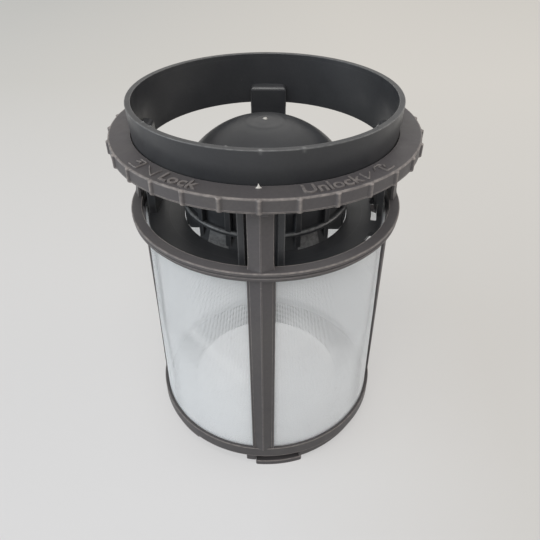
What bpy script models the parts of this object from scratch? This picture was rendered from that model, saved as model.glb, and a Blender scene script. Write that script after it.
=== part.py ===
"""Dishwasher filter: a moulded frame, the fine mesh sleeve inside it and the lift-out coarse insert.

Metres, +Z up. The filter stands on its four bayonet feet at z = 0, its axis is the Z axis
and one post faces -Y. Azimuths are degrees from -Y, growing towards +X.
"""

import math

import bmesh
import bpy

MM = 0.001

# What every moulded piece shares.
EDGE = 0.25 * MM
BITE = 0.3 * MM
COLUMNS = 72
QUARTERS = (0.0, 90.0, 180.0, 270.0)

# Clearances between pieces.
SEAT_GAP = 0.3 * MM
SLEEVE_GAP = 0.3 * MM
COLLAR_GAP = 0.6 * MM
PLATE_GAP = 1.1 * MM
MID_RING_GAP = 0.8 * MM

# Heights of the frame, from the feet up.
FOOT_HEIGHT = 2.5 * MM
FOOT_TO_RIM = 4.7 * MM
SKIRT_LIFT = 2.0 * MM
BLOCK_DEPTH = 4.2 * MM
STRIP_DEPTH = 4.2 * MM
STRIP_RAMP = 1.5 * MM
RIM_HEIGHT = 4.7 * MM
RIM_TO_MID = 79.1 * MM
MID_HEIGHT = 3.7 * MM
WINDOW_HEIGHT = 20.65 * MM
FLANGE_HEIGHT = 4.25 * MM
COLLAR_RISE = 9.4 * MM
RIM_BASE = FOOT_HEIGHT + FOOT_TO_RIM
RIM_TOP = RIM_BASE + RIM_HEIGHT
MID_BASE = RIM_TOP + RIM_TO_MID
MID_TOP = MID_BASE + MID_HEIGHT
FLANGE_BASE = MID_TOP + WINDOW_HEIGHT
FLANGE_TOP = FLANGE_BASE + FLANGE_HEIGHT
OVERALL_HEIGHT = FLANGE_TOP + COLLAR_RISE

# The grip flange and the hub wall round its bore.
BORE_R = 40.7 * MM
HUB_WALL = 1.8 * MM
HUB_DROP = 2.15 * MM
FLANGE_WIDTH = 6.6 * MM
FLANGE_PLATE = 1.8 * MM
FLANGE_SLOPE = 0.1 * MM
GRIP_RISE = 0.6 * MM
GRIP_RIBS = 30
FLANGE_R = BORE_R + FLANGE_WIDTH

# The middle ring and the posts above it.
MID_BORE_R = BORE_R + 0.3 * MM
MID_WIDTH = 3.4 * MM
MID_GROOVE = 0.6 * MM
MID_R = MID_BORE_R + MID_WIDTH
UPPER_POST_HALF = 3.6 * MM
UPPER_POST_RIDGE = 1.5 * MM
PAD_HALF = 2.1 * MM
PAD_HEIGHT = 4.15 * MM

# The mesh sleeve, a slender cone inside the posts.
SLEEVE_FLARE = 1.8 * MM
SLEEVE_THICKNESS = 0.5 * MM
SLEEVE_TUCK = 1.0 * MM
SLEEVE_TOP = MID_BASE + SLEEVE_TUCK
SLEEVE_TOP_R = MID_BORE_R - MID_RING_GAP
SLEEVE_FOOT_R = SLEEVE_TOP_R + SLEEVE_FLARE

# The posts in front of the sleeve.
LOWER_POST_HALF = 4.15 * MM
LOWER_POST_NARROWING = 0.25 * MM
LOWER_POST_LIP = 0.9 * MM
LOWER_POST_LIP_DEPTH = 0.85 * MM
LOWER_POST_RIDGE = 1.4 * MM

# The bottom rim with its floor plate and skirt, and the feet under it.
RIM_WALL = 1.1 * MM
FLOOR_LIFT = 0.6 * MM
FLOOR_THICKNESS = 1.6 * MM
FLOOR_HOLE_R = 30.0 * MM
SKIRT_WALL = 2.2 * MM
SKIRT_INSET = 3.4 * MM
FOOT_INSET = 1.0 * MM
FOOT_DEPTH = 4.8 * MM
FLOOR_TOP = RIM_BASE + FLOOR_LIFT
SLEEVE_FOOT = FLOOR_TOP + SLEEVE_GAP
RIM_R = SLEEVE_FOOT_R + SLEEVE_GAP + RIM_WALL
SKIRT_R = RIM_R - SKIRT_INSET
FOOT_R = RIM_R - FOOT_INSET
FOOT_SPAN = (-4.0, 20.0)
HEEL_SPAN = (-4.6, 20.6)
BLOCK_SPAN = (-8.7, -3.9)
STRIP_SPAN = (18.5, 53.0)

# The strainer plate of the insert, which stays clear of the sleeve.
PLATE_DROP = 0.8 * MM
PLATE_THICKNESS = 1.4 * MM
PLATE_TOP = MID_BASE - PLATE_DROP
PLATE_BASE = PLATE_TOP - PLATE_THICKNESS
PLATE_R = SLEEVE_TOP_R - SLEEVE_THICKNESS - PLATE_GAP

# The collar of the insert, which drops into the bore.
COLLAR_DROP = 3.55 * MM
COLLAR_FLARE = 0.9 * MM
COLLAR_WALL = 1.7 * MM
COLLAR_FOOT = FLANGE_BASE - COLLAR_DROP
COLLAR_FOOT_R = BORE_R - COLLAR_GAP
COLLAR_TOP_R = COLLAR_FOOT_R + COLLAR_FLARE

# The channel legs between the collar and the plate, and the slits at their feet.
LEG_HALF = 6.9 * MM
LEG_SIDE = 2.1 * MM
LEG_WEB = 1.3 * MM
LEG_CHANNEL = 1.9 * MM
LEG_HEAD_RISE = 6.9 * MM
LEG_OUTER_R = PLATE_R - 0.4 * EDGE
LEG_WEB_R = LEG_OUTER_R - LEG_CHANNEL
LEG_INNER_R = LEG_WEB_R - LEG_WEB
LEG_TOP = COLLAR_FOOT + LEG_HEAD_RISE
SLIT_WIDTH = 1.2 * MM
SLIT_RISE = 5.8 * MM
SLIT_SPAN = (-10.0 * MM, -0.5 * MM)

# The cage over the hole in the plate, and its dome.
PLATE_HOLE_R = 28.4 * MM
CAGE_BARS = 16
CAGE_BAR_WIDTH = 1.8 * MM
CAGE_BAR_DEPTH = 2.7 * MM
CAGE_HEIGHT = 12.4 * MM
CAGE_HOOP_LIFT = 4.0 * MM
CAGE_HOOP_HEIGHT = 2.25 * MM
PANEL_WALL = 0.9 * MM
BRIM_HEIGHT = 1.8 * MM
DOME_SWELL = 2.0 * MM
DOME_SINK = 0.45 * MM
DOME_WALL = 1.4 * MM
CAGE_R = PLATE_HOLE_R + BITE
CAGE_INNER_R = CAGE_R - CAGE_BAR_DEPTH
BRIM_BASE = PLATE_TOP + CAGE_HEIGHT
DOME_SPHERE_R = CAGE_R + DOME_SWELL
DOME_CENTRE = PLATE_TOP - DOME_SINK
PANEL_SPANS = ((22.5, 45.0), (135.0, 157.5), (202.5, 225.0), (315.0, 337.5))

# The four seats under the insert.
SEAT_DEPTH = 1.9 * MM
SEAT_REACH = 2.9 * MM
SEAT_SPAN = (0.6 * MM, 3.6 * MM)
SEAT_TOP = PLATE_BASE - SEAT_GAP
SEAT_INNER_R = PLATE_R - SEAT_REACH


def clear_scene():
    """Remove whatever the new file starts with."""
    for thing in list(bpy.data.objects):
        bpy.data.objects.remove(thing, do_unlink=True)


def new_collection(name):
    """A collection linked to the scene."""
    group = bpy.data.collections.new(name)
    bpy.context.scene.collection.children.link(group)
    return group


def plastic(name, colour, roughness):
    """A plain moulded plastic."""
    material = bpy.data.materials.new(name)
    material.use_nodes = True
    shader = material.node_tree.nodes["Principled BSDF"]
    shader.inputs["Base Color"].default_value = (*colour, 1.0)
    shader.inputs["Roughness"].default_value = roughness
    shader.inputs["Metallic"].default_value = 0.0
    return material


def polar(radius, azimuth, height):
    """A point from its radius, azimuth in degrees from -Y, and height."""
    turn = math.radians(azimuth)
    return (radius * math.sin(turn), -radius * math.cos(turn), height)


def on_side(across, out, height, azimuth):
    """A point given across and out from the axis, on the side that faces the azimuth."""
    turn = math.radians(azimuth)
    x = across * math.cos(turn) + out * math.sin(turn)
    y = across * math.sin(turn) - out * math.cos(turn)
    return (x, y, height)


def even_azimuths(count):
    """Azimuths of a whole turn in equal steps."""
    return [360.0 * index / count for index in range(count)]


def solid_object(name, group, shells):
    """One object from closed shells, each a pair of vertices and faces."""
    shape = bmesh.new()
    for points, faces in shells:
        corners = [shape.verts.new(point) for point in points]
        for face in faces:
            shape.faces.new([corners[index] for index in face])
    bmesh.ops.recalc_face_normals(shape, faces=shape.faces)
    mesh = bpy.data.meshes.new(name)
    shape.to_mesh(mesh)
    shape.free()
    thing = bpy.data.objects.new(name, mesh)
    group.objects.link(thing)
    return thing


def combine(thing, other, operation):
    """Join another object to this one, or cut it away."""
    other.hide_render = True
    other.display_type = "WIRE"
    step = thing.modifiers.new(other.name, "BOOLEAN")
    step.operation = operation
    step.solver = "EXACT"
    step.use_self = operation == "UNION"
    step.object = other


def smooth(thing):
    """Shade the round walls smooth and keep the moulded edges sharp."""
    thing.data.shade_smooth()
    thing.data.set_sharp_from_angle(angle=math.radians(30.0))


def band(size, first, second):
    """Faces between two loops of equal size that start at the given vertices."""
    faces = []
    for index in range(size):
        ahead = (index + 1) % size
        faces.append((first + index, first + ahead, second + ahead, second + index))
    return faces


def ring_shell(outline, azimuths):
    """A closed (radius, height) outline carried round the axis.

    The outline may be a function of the azimuth.
    """
    points = []
    for azimuth in azimuths:
        loop = outline(azimuth) if callable(outline) else outline
        points.extend(polar(radius, azimuth, height) for radius, height in loop)
    size = len(points) // len(azimuths)
    faces = []
    for column in range(len(azimuths)):
        faces.extend(band(size, column * size, (column + 1) % len(azimuths) * size))
    return points, faces


def capped_shell(points, size):
    """Loops of equal size in a row, joined and closed at both ends."""
    faces = []
    loops = len(points) // size
    for loop in range(loops - 1):
        faces.extend(band(size, loop * size, (loop + 1) * size))
    faces.append(tuple(range(size)))
    faces.append(tuple((loops - 1) * size + index for index in reversed(range(size))))
    return points, faces


def sector_shell(outline, span, turn, steps):
    """A closed (radius, height) outline carried over a span of azimuths, with flat ends.

    The outline may be a function of the share of the span.
    """
    points = []
    for step in range(steps + 1):
        share = step / steps
        azimuth = turn + span[0] + (span[1] - span[0]) * share
        loop = outline(share) if callable(outline) else outline
        points.extend(polar(radius, azimuth, height) for radius, height in loop)
    return capped_shell(points, len(loop))


def upright_shell(sections, turn):
    """Like (across, out) sections at rising heights, on the side that faces the turn."""
    points = []
    for height, section in sections:
        points.extend(on_side(across, out, height, turn) for across, out in section)
    return capped_shell(points, len(sections[0][1]))


def box_section(left, right, inner, outer):
    """A rectangular (across, out) section."""
    return [(left, inner), (left, outer), (right, outer), (right, inner)]


def ring_box(inner, outer, base, top):
    """A rectangular (radius, height) outline."""
    return [(inner, top), (outer, top), (outer, base), (inner, base)]


def sleeve_radius(height):
    """Outside radius of the mesh sleeve at a height."""
    share = (SLEEVE_TOP - height) / (SLEEVE_TOP - RIM_TOP)
    return SLEEVE_TOP_R + (SLEEVE_FOOT_R - SLEEVE_TOP_R) * min(share, 1.0)


def grip_azimuths():
    """Azimuths of the flange: four to each grip rib, at its foot and at its crest."""
    turns = []
    for centre in even_azimuths(GRIP_RIBS):
        turns.extend(centre + offset for offset in (-0.95, -0.4, 0.4, 0.95))
    return turns


def flange_outline(azimuth):
    """Section of the grip flange: top plate, ribbed edge and the outer wall that hangs from it."""
    pitch = 360.0 / GRIP_RIBS
    from_rib = abs((azimuth + pitch / 2.0) % pitch - pitch / 2.0)
    rise = GRIP_RISE if from_rib < 0.7 else 0.0
    inner = BORE_R + HUB_WALL / 2.0
    under = FLANGE_TOP - FLANGE_SLOPE - FLANGE_PLATE
    return [
        (inner, FLANGE_TOP - EDGE / 4.0),
        (FLANGE_R - 3.0 * EDGE, FLANGE_TOP - FLANGE_SLOPE),
        (FLANGE_R - EDGE + 0.6 * rise, FLANGE_TOP - FLANGE_SLOPE - EDGE - 0.2 * rise),
        (FLANGE_R + rise, FLANGE_TOP - FLANGE_SLOPE - 3.0 * EDGE),
        (FLANGE_R + rise, FLANGE_BASE + 1.5 * EDGE),
        (FLANGE_R - EDGE + 0.7 * rise, FLANGE_BASE),
        (FLANGE_R - FLANGE_PLATE, FLANGE_BASE),
        (FLANGE_R - FLANGE_PLATE, under),
        (inner, under + EDGE),
    ]


def hub_outline():
    """Section of the wall round the bore that the collar drops into."""
    outer = BORE_R + HUB_WALL
    return [
        (BORE_R, FLANGE_TOP),
        (outer - 2.0 * EDGE, FLANGE_TOP - EDGE / 2.0),
        (outer, FLANGE_TOP - FLANGE_SLOPE - 2.0 * EDGE),
        (outer, FLANGE_BASE - HUB_DROP),
        (BORE_R, FLANGE_BASE - HUB_DROP),
    ]


def mid_ring_outline():
    """Section of the middle ring, with a groove between its two outer lips."""
    lip = MID_R - MID_GROOVE / 2.0
    groove = MID_R - MID_GROOVE
    return [
        (MID_BORE_R, MID_TOP),
        (MID_R - EDGE, MID_TOP),
        (MID_R, MID_TOP - EDGE),
        (MID_R, MID_TOP - 4.0 * EDGE),
        (groove, MID_TOP - 5.5 * EDGE),
        (groove, MID_TOP - 7.0 * EDGE),
        (lip, MID_TOP - 8.0 * EDGE),
        (lip, MID_TOP - 10.5 * EDGE),
        (groove - EDGE, MID_TOP - 12.0 * EDGE),
        (groove - 2.0 * EDGE, MID_BASE),
        (MID_BORE_R, MID_BASE),
    ]


def rim_outline():
    """Section of the bottom rim, its floor plate and the skirt under it."""
    wall = SLEEVE_FOOT_R + SLEEVE_GAP
    under = FLOOR_TOP - FLOOR_THICKNESS
    return [
        (FLOOR_HOLE_R, FLOOR_TOP - EDGE),
        (FLOOR_HOLE_R + EDGE, FLOOR_TOP),
        (wall, FLOOR_TOP),
        (wall, RIM_TOP),
        (RIM_R - EDGE, RIM_TOP),
        (RIM_R, RIM_TOP - EDGE),
        (RIM_R, RIM_BASE + EDGE),
        (RIM_R - EDGE, RIM_BASE),
        (SKIRT_R, RIM_BASE - 2.0 * EDGE),
        (SKIRT_R, SKIRT_LIFT),
        (SKIRT_R - SKIRT_WALL, SKIRT_LIFT),
        (SKIRT_R - SKIRT_WALL, under),
        (FLOOR_HOLE_R, under),
    ]


def upper_post(turn):
    """A ridged post across the open windows, spreading at its foot."""
    half = UPPER_POST_HALF
    inner = MID_BORE_R + HUB_WALL / 9.0
    edge = MID_BORE_R + MID_WIDTH * 0.3

    def section(spread):
        brink = edge + spread / 2.0
        ridge = edge + UPPER_POST_RIDGE + spread
        return [(-half, inner), (-half, brink), (0.0, ridge), (half, brink), (half, inner)]

    sections = [
        (MID_TOP - 4.8 * EDGE, section(2.6 * EDGE)),
        (MID_TOP + EDGE, section(2.2 * EDGE)),
        (MID_TOP + 16.0 * EDGE, section(0.0)),
        (FLANGE_TOP - FLANGE_SLOPE - 0.7 * FLANGE_PLATE, section(0.0)),
    ]
    return upright_shell(sections, turn)


def post_pad(turn):
    """The small raised pad at the top of an upper post."""
    inner = MID_BORE_R + HUB_WALL / 3.0
    outer = MID_BORE_R + MID_WIDTH * 0.3 + UPPER_POST_RIDGE + 1.5 * EDGE
    sections = [
        (FLANGE_BASE - PAD_HEIGHT, box_section(-PAD_HALF, PAD_HALF, inner, outer - EDGE)),
        (FLANGE_BASE - PAD_HEIGHT + EDGE, box_section(-PAD_HALF, PAD_HALF, inner, outer)),
        (FLANGE_TOP - FLANGE_SLOPE - 0.8 * FLANGE_PLATE, box_section(-PAD_HALF, PAD_HALF, inner, outer)),
    ]
    return upright_shell(sections, turn)


def lower_post(turn):
    """A lipped and ridged post in front of the sleeve, standing proud of the bottom rim."""
    top = MID_BASE + MID_HEIGHT / 4.0
    base = RIM_TOP - 2.4 * EDGE

    def section(height, half):
        inner = sleeve_radius(height) + SLEEVE_GAP
        lip = inner + LOWER_POST_LIP_DEPTH
        shoulder = lip + LOWER_POST_RIDGE / 5.0
        crest = lip + LOWER_POST_RIDGE
        step = half - LOWER_POST_LIP
        return [
            (-half, inner),
            (-half, lip),
            (-step - EDGE / 5.0, lip),
            (-step + EDGE / 5.0, shoulder),
            (0.0, crest),
            (step - EDGE / 5.0, shoulder),
            (step + EDGE / 5.0, lip),
            (half, lip),
            (half, inner),
        ]

    sections = [
        (base, section(base, LOWER_POST_HALF - LOWER_POST_NARROWING)),
        (top, section(top, LOWER_POST_HALF)),
    ]
    return upright_shell(sections, turn)


def foot_shells(turn):
    """A bayonet foot, the wall behind it, its stop block and the strip that ramps up beside it."""
    top = RIM_BASE + 0.6 * EDGE
    inner = SKIRT_R - 0.6 * SKIRT_WALL
    foot = [
        (FOOT_R - FOOT_DEPTH, 0.0),
        (FOOT_R - FOOT_DEPTH, FOOT_HEIGHT),
        (FOOT_R, FOOT_HEIGHT),
        (FOOT_R, 2.0 * EDGE),
        (FOOT_R - 2.0 * EDGE, 0.0),
    ]

    def strip(share):
        base = RIM_BASE - STRIP_DEPTH + STRIP_RAMP * share
        return [
            (inner, base),
            (inner, top),
            (FOOT_R + 0.2 * EDGE, top),
            (FOOT_R + 0.2 * EDGE, base + 1.5 * EDGE),
            (FOOT_R - 1.3 * EDGE, base),
        ]

    heel = ring_box(inner, SKIRT_R + 1.6 * EDGE, FOOT_HEIGHT / 2.0, top)
    block = ring_box(inner, FOOT_R, RIM_BASE - BLOCK_DEPTH, top)
    return [
        sector_shell(foot, FOOT_SPAN, turn, 6),
        sector_shell(heel, HEEL_SPAN, turn, 6),
        sector_shell(block, BLOCK_SPAN, turn, 2),
        sector_shell(strip, STRIP_SPAN, turn, 8),
    ]


def seat(turn):
    """One of the small shelves that the insert rests on, with a sloping underside."""
    outer = MID_BORE_R + BITE
    root = SLEEVE_TOP_R - SLEEVE_THICKNESS - 4.0 * SEAT_GAP
    sections = [
        (SEAT_TOP - SEAT_DEPTH, box_section(*SEAT_SPAN, root, outer)),
        (SEAT_TOP - 0.4 * SEAT_DEPTH, box_section(*SEAT_SPAN, SEAT_INNER_R, outer)),
        (SEAT_TOP, box_section(*SEAT_SPAN, SEAT_INNER_R, outer)),
    ]
    return upright_shell(sections, turn)


def build_frame(group, tools):
    """The one-piece frame: flange, posts, middle ring, bottom rim, feet and seats."""
    frame = solid_object("filter_frame", group, [ring_shell(flange_outline, grip_azimuths())])
    shells = [
        ring_shell(hub_outline(), even_azimuths(COLUMNS)),
        ring_shell(mid_ring_outline(), even_azimuths(COLUMNS)),
        ring_shell(rim_outline(), even_azimuths(COLUMNS)),
    ]
    for turn in QUARTERS:
        shells.extend((upper_post(turn), post_pad(turn), lower_post(turn), seat(turn)))
        shells.extend(foot_shells(turn))
    combine(frame, solid_object("frame_additions", tools, shells), "UNION")
    frame.data.materials.append(plastic("frame_plastic", (0.098, 0.09, 0.09), 0.55))
    smooth(frame)
    return frame


def build_sleeve(group, tools):
    """The fine mesh sleeve, notched at the top where the seats pass."""
    inward = SLEEVE_THICKNESS
    outline = [
        (SLEEVE_FOOT_R - inward, SLEEVE_FOOT),
        (SLEEVE_FOOT_R, SLEEVE_FOOT),
        (SLEEVE_FOOT_R, RIM_TOP),
        (SLEEVE_TOP_R, SLEEVE_TOP),
        (SLEEVE_TOP_R - inward, SLEEVE_TOP),
        (SLEEVE_FOOT_R - inward, RIM_TOP),
    ]
    sleeve = solid_object("mesh_sleeve", group, [ring_shell(outline, even_azimuths(COLUMNS))])
    left = SEAT_SPAN[0] - SLEEVE_GAP
    right = SEAT_SPAN[1] + SLEEVE_GAP
    notch = box_section(left, right, SLEEVE_TOP_R - 4.0 * inward, SLEEVE_FOOT_R + inward)
    low = SEAT_TOP - SEAT_DEPTH - SLEEVE_GAP
    notches = [upright_shell([(low, notch), (SLEEVE_TOP + inward, notch)], turn) for turn in QUARTERS]
    combine(sleeve, solid_object("sleeve_notches", tools, notches), "DIFFERENCE")
    sleeve.data.materials.append(plastic("mesh_white", (0.78, 0.79, 0.79), 0.6))
    smooth(sleeve)
    return sleeve


def collar_outline():
    """Section of the collar that is gripped to lift the insert out."""
    return [
        (COLLAR_TOP_R - 1.8 * EDGE, OVERALL_HEIGHT),
        (COLLAR_TOP_R, OVERALL_HEIGHT - 1.8 * EDGE),
        (COLLAR_FOOT_R, COLLAR_FOOT + EDGE),
        (COLLAR_FOOT_R - EDGE, COLLAR_FOOT),
        (COLLAR_FOOT_R - COLLAR_WALL + EDGE, COLLAR_FOOT),
        (COLLAR_TOP_R - COLLAR_WALL, OVERALL_HEIGHT - 1.4 * EDGE),
        (COLLAR_TOP_R - COLLAR_WALL + 1.4 * EDGE, OVERALL_HEIGHT),
    ]


def leg(turn):
    """A channel leg, open to the outside, between the collar and the strainer plate."""
    half = LEG_HALF
    hollow = half - LEG_SIDE
    channel = [
        (-half, LEG_INNER_R),
        (-half, LEG_OUTER_R),
        (-hollow, LEG_OUTER_R),
        (-hollow, LEG_WEB_R),
        (hollow, LEG_WEB_R),
        (hollow, LEG_OUTER_R),
        (half, LEG_OUTER_R),
        (half, LEG_INNER_R),
    ]
    base = PLATE_BASE + PLATE_THICKNESS * 0.3
    return upright_shell([(base, channel), (COLLAR_FOOT - 2.0 * BITE, channel)], turn)


def leg_head(turn):
    """The solid head of a leg inside the collar, bevelled at the top."""
    half = LEG_HALF
    outer = COLLAR_FOOT_R - 0.65 * COLLAR_WALL

    def section(inset):
        return box_section(-half + inset, half - inset, LEG_INNER_R + 1.3 * inset, outer)

    sections = [
        (COLLAR_FOOT - 3.0 * BITE, section(0.0)),
        (LEG_TOP - 6.0 * EDGE, section(0.0)),
        (LEG_TOP - 2.0 * EDGE, section(EDGE)),
        (LEG_TOP, section(4.0 * EDGE)),
    ]
    return upright_shell(sections, turn)


def plate_outline():
    """Section of the strainer plate."""
    return [
        (PLATE_HOLE_R, PLATE_TOP - EDGE),
        (PLATE_HOLE_R + EDGE, PLATE_TOP),
        (PLATE_R - EDGE, PLATE_TOP + EDGE / 2.0),
        (PLATE_R, PLATE_TOP - EDGE / 2.0),
        (PLATE_R, PLATE_BASE),
        (PLATE_HOLE_R, PLATE_BASE),
    ]


def dome_arc(radius, steps):
    """Points of a dome wall from the brim up to the pole."""
    lowest = math.acos((BRIM_BASE + BRIM_HEIGHT / 3.0 - DOME_CENTRE) / DOME_SPHERE_R)
    arc = []
    for index in range(steps + 1):
        tilt = lowest * (1.0 - index / steps)
        arc.append((radius * math.sin(tilt), DOME_CENTRE + radius * math.cos(tilt)))
    return arc


def dome_shell():
    """The dome as one closed shell with a single point at each pole."""
    outer = dome_arc(DOME_SPHERE_R, 7)
    inner = dome_arc(DOME_SPHERE_R - DOME_WALL, 7)
    count = 40
    rows = outer[:-1] + inner[:-1]
    points = []
    for radius, height in rows:
        points.extend(polar(radius, azimuth, height) for azimuth in even_azimuths(count))
    top = len(outer) - 2
    faces = band(count, 0, (top + 1) * count)
    for row in list(range(top)) + list(range(top + 1, 2 * top + 1)):
        faces.extend(band(count, row * count, (row + 1) * count))
    for last_row, pole in ((top, outer[-1]), (2 * top + 1, inner[-1])):
        points.append((0.0, 0.0, pole[1]))
        for column in range(count):
            ahead = (column + 1) % count
            faces.append((last_row * count + column, last_row * count + ahead, len(points) - 1))
    return points, faces


def cage_bar(turn):
    """One upright bar of the cage between the strainer plate and the dome."""
    half = CAGE_BAR_WIDTH / 2.0
    section = box_section(-half, half, CAGE_INNER_R, CAGE_R)
    base = PLATE_BASE + PLATE_THICKNESS * 0.35
    return upright_shell([(base, section), (BRIM_BASE + BRIM_HEIGHT * 0.4, section)], turn)


def build_insert(group, tools):
    """The one-piece coarse insert: collar, legs, strainer plate, cage and dome."""
    insert = solid_object("coarse_insert", group, [ring_shell(collar_outline(), even_azimuths(COLUMNS))])
    hoop_base = PLATE_TOP + CAGE_HOOP_LIFT
    hoop_inner = CAGE_INNER_R + CAGE_BAR_DEPTH * 0.3
    hoop = ring_box(hoop_inner, CAGE_R + 0.6 * EDGE, hoop_base, hoop_base + CAGE_HOOP_HEIGHT)
    brim = ring_box(CAGE_INNER_R - EDGE, CAGE_R + 0.4 * EDGE, BRIM_BASE, BRIM_BASE + BRIM_HEIGHT)
    panel_inner = CAGE_INNER_R + CAGE_BAR_DEPTH * 0.37
    panel_base = PLATE_BASE + PLATE_THICKNESS * 0.6
    panel = ring_box(panel_inner, panel_inner + PANEL_WALL, panel_base, BRIM_BASE + BRIM_HEIGHT * 0.2)
    shells = [
        ring_shell(plate_outline(), even_azimuths(COLUMNS)),
        ring_shell(hoop, even_azimuths(COLUMNS // 2)),
        ring_shell(brim, even_azimuths(COLUMNS // 2)),
        dome_shell(),
    ]
    for turn in QUARTERS:
        shells.extend((leg_head(turn), leg(turn)))
    shells.extend(cage_bar(turn) for turn in even_azimuths(CAGE_BARS))
    shells.extend(sector_shell(panel, span, 0.0, 4) for span in PANEL_SPANS)
    combine(insert, solid_object("insert_additions", tools, shells), "UNION")
    slit_outer = LEG_WEB_R + LEG_CHANNEL * 0.53
    slit = box_section(*SLIT_SPAN, slit_outer - SLIT_WIDTH, slit_outer)
    low = PLATE_BASE - PLATE_THICKNESS
    slits = [upright_shell([(low, slit), (PLATE_TOP + SLIT_RISE, slit)], turn) for turn in QUARTERS]
    combine(insert, solid_object("insert_slits", tools, slits), "DIFFERENCE")
    insert.data.materials.append(plastic("insert_plastic", (0.04, 0.041, 0.045), 0.5))
    smooth(insert)
    return insert


def main():
    """Build the three pieces of the filter."""
    clear_scene()
    parts = new_collection("dishwasher_filter")
    tools = new_collection("shaping_tools")
    tools.hide_render = True
    build_frame(parts, tools)
    build_sleeve(parts, tools)
    build_insert(parts, tools)


main()
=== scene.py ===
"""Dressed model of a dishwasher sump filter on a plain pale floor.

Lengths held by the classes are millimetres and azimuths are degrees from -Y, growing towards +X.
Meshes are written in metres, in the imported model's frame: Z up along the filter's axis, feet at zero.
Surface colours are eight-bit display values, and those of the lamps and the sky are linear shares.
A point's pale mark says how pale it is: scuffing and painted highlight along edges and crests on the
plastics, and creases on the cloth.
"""

import logging
import math
from dataclasses import dataclass, field
from enum import Enum

import bmesh
import bpy
import numpy as np
from mathutils import Matrix, Vector


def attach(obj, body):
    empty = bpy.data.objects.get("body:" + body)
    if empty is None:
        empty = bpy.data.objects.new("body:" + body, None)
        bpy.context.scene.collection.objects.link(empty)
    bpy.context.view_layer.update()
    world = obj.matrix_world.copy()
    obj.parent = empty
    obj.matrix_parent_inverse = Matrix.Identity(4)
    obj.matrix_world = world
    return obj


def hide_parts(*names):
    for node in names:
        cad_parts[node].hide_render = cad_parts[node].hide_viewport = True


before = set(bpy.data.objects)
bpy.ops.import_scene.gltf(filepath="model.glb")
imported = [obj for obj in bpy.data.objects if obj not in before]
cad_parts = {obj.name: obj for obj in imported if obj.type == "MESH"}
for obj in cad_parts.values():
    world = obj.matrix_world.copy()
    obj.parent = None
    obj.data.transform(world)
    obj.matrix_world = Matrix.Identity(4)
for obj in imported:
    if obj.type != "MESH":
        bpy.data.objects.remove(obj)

LOG = logging.getLogger("dishwasher_filter")
MM = 0.001
QUARTERS = (0.0, 90.0, 180.0, 270.0)
SHARP_ANGLE = 42.0

Span = tuple[float, float]
Triple = tuple[float, float, float]
Colour = tuple[float, float, float]
Corner = tuple[float, float, float, float]
Socket = bpy.types.NodeSocket


class Body(str, Enum):
    """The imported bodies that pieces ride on."""

    FRAME = "frame"
    INSERT = "insert"


class Slot(str, Enum):
    """The record's material slots."""

    FRAME = "frame_plastic"
    MESH = "mesh_white"
    INSERT = "insert_plastic"


@dataclass(frozen=True)
class Levels:
    """Heights that several pieces share."""

    rim_base: float = 7.2
    floor_top: float = 7.8
    sleeve_foot: float = 8.1
    rim_top: float = 11.9
    mid_base: float = 91.0
    mid_top: float = 94.7
    flange_base: float = 115.35
    flange_top: float = 119.6
    collar_top: float = 129.0


LEVELS = Levels()

# Surfaces.


@dataclass
class Patch:
    """A run of polygons: points in millimetres, faces, and how pale each point is: scuffing and painted
    highlight on the plastics, creases on the cloth.
    """

    points: np.ndarray
    faces: list[list[int]]
    wear_highlight_crease: np.ndarray

    def turned(self, azimuth: float) -> "Patch":
        """Carry the patch round the axis.

        Args:
            azimuth: The turn in degrees.

        Returns:
            The turned copy.
        """
        turn = math.radians(azimuth)
        spin = np.array([
            [math.cos(turn), -math.sin(turn), 0.0],
            [math.sin(turn), math.cos(turn), 0.0],
            [0.0, 0.0, 1.0],
        ])
        return Patch(self.points @ spin.T, self.faces, self.wear_highlight_crease)

    def azimuths(self) -> np.ndarray:
        """The azimuth of each point."""
        return np.degrees(np.arctan2(self.points[:, 0], -self.points[:, 1]))


@dataclass
class Outline:
    """A closed section: points (N, 2) and how pale each is (N,), from scuffing and painted highlight."""

    points: np.ndarray
    wear_highlight_crease: np.ndarray


def on_four_sides(*patches: Patch) -> list[Patch]:
    """Copies of the patches on all four sides."""
    return [patch.turned(turn) for turn in QUARTERS for patch in patches]


# A fillet takes at most this share of a side, and a guard point lies just outside it.
FILLET_SHARE = 0.42
GUARD_REACH = 0.15
GUARD_SHARE = 0.06
COSINE_LIMIT = 0.9999


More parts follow.
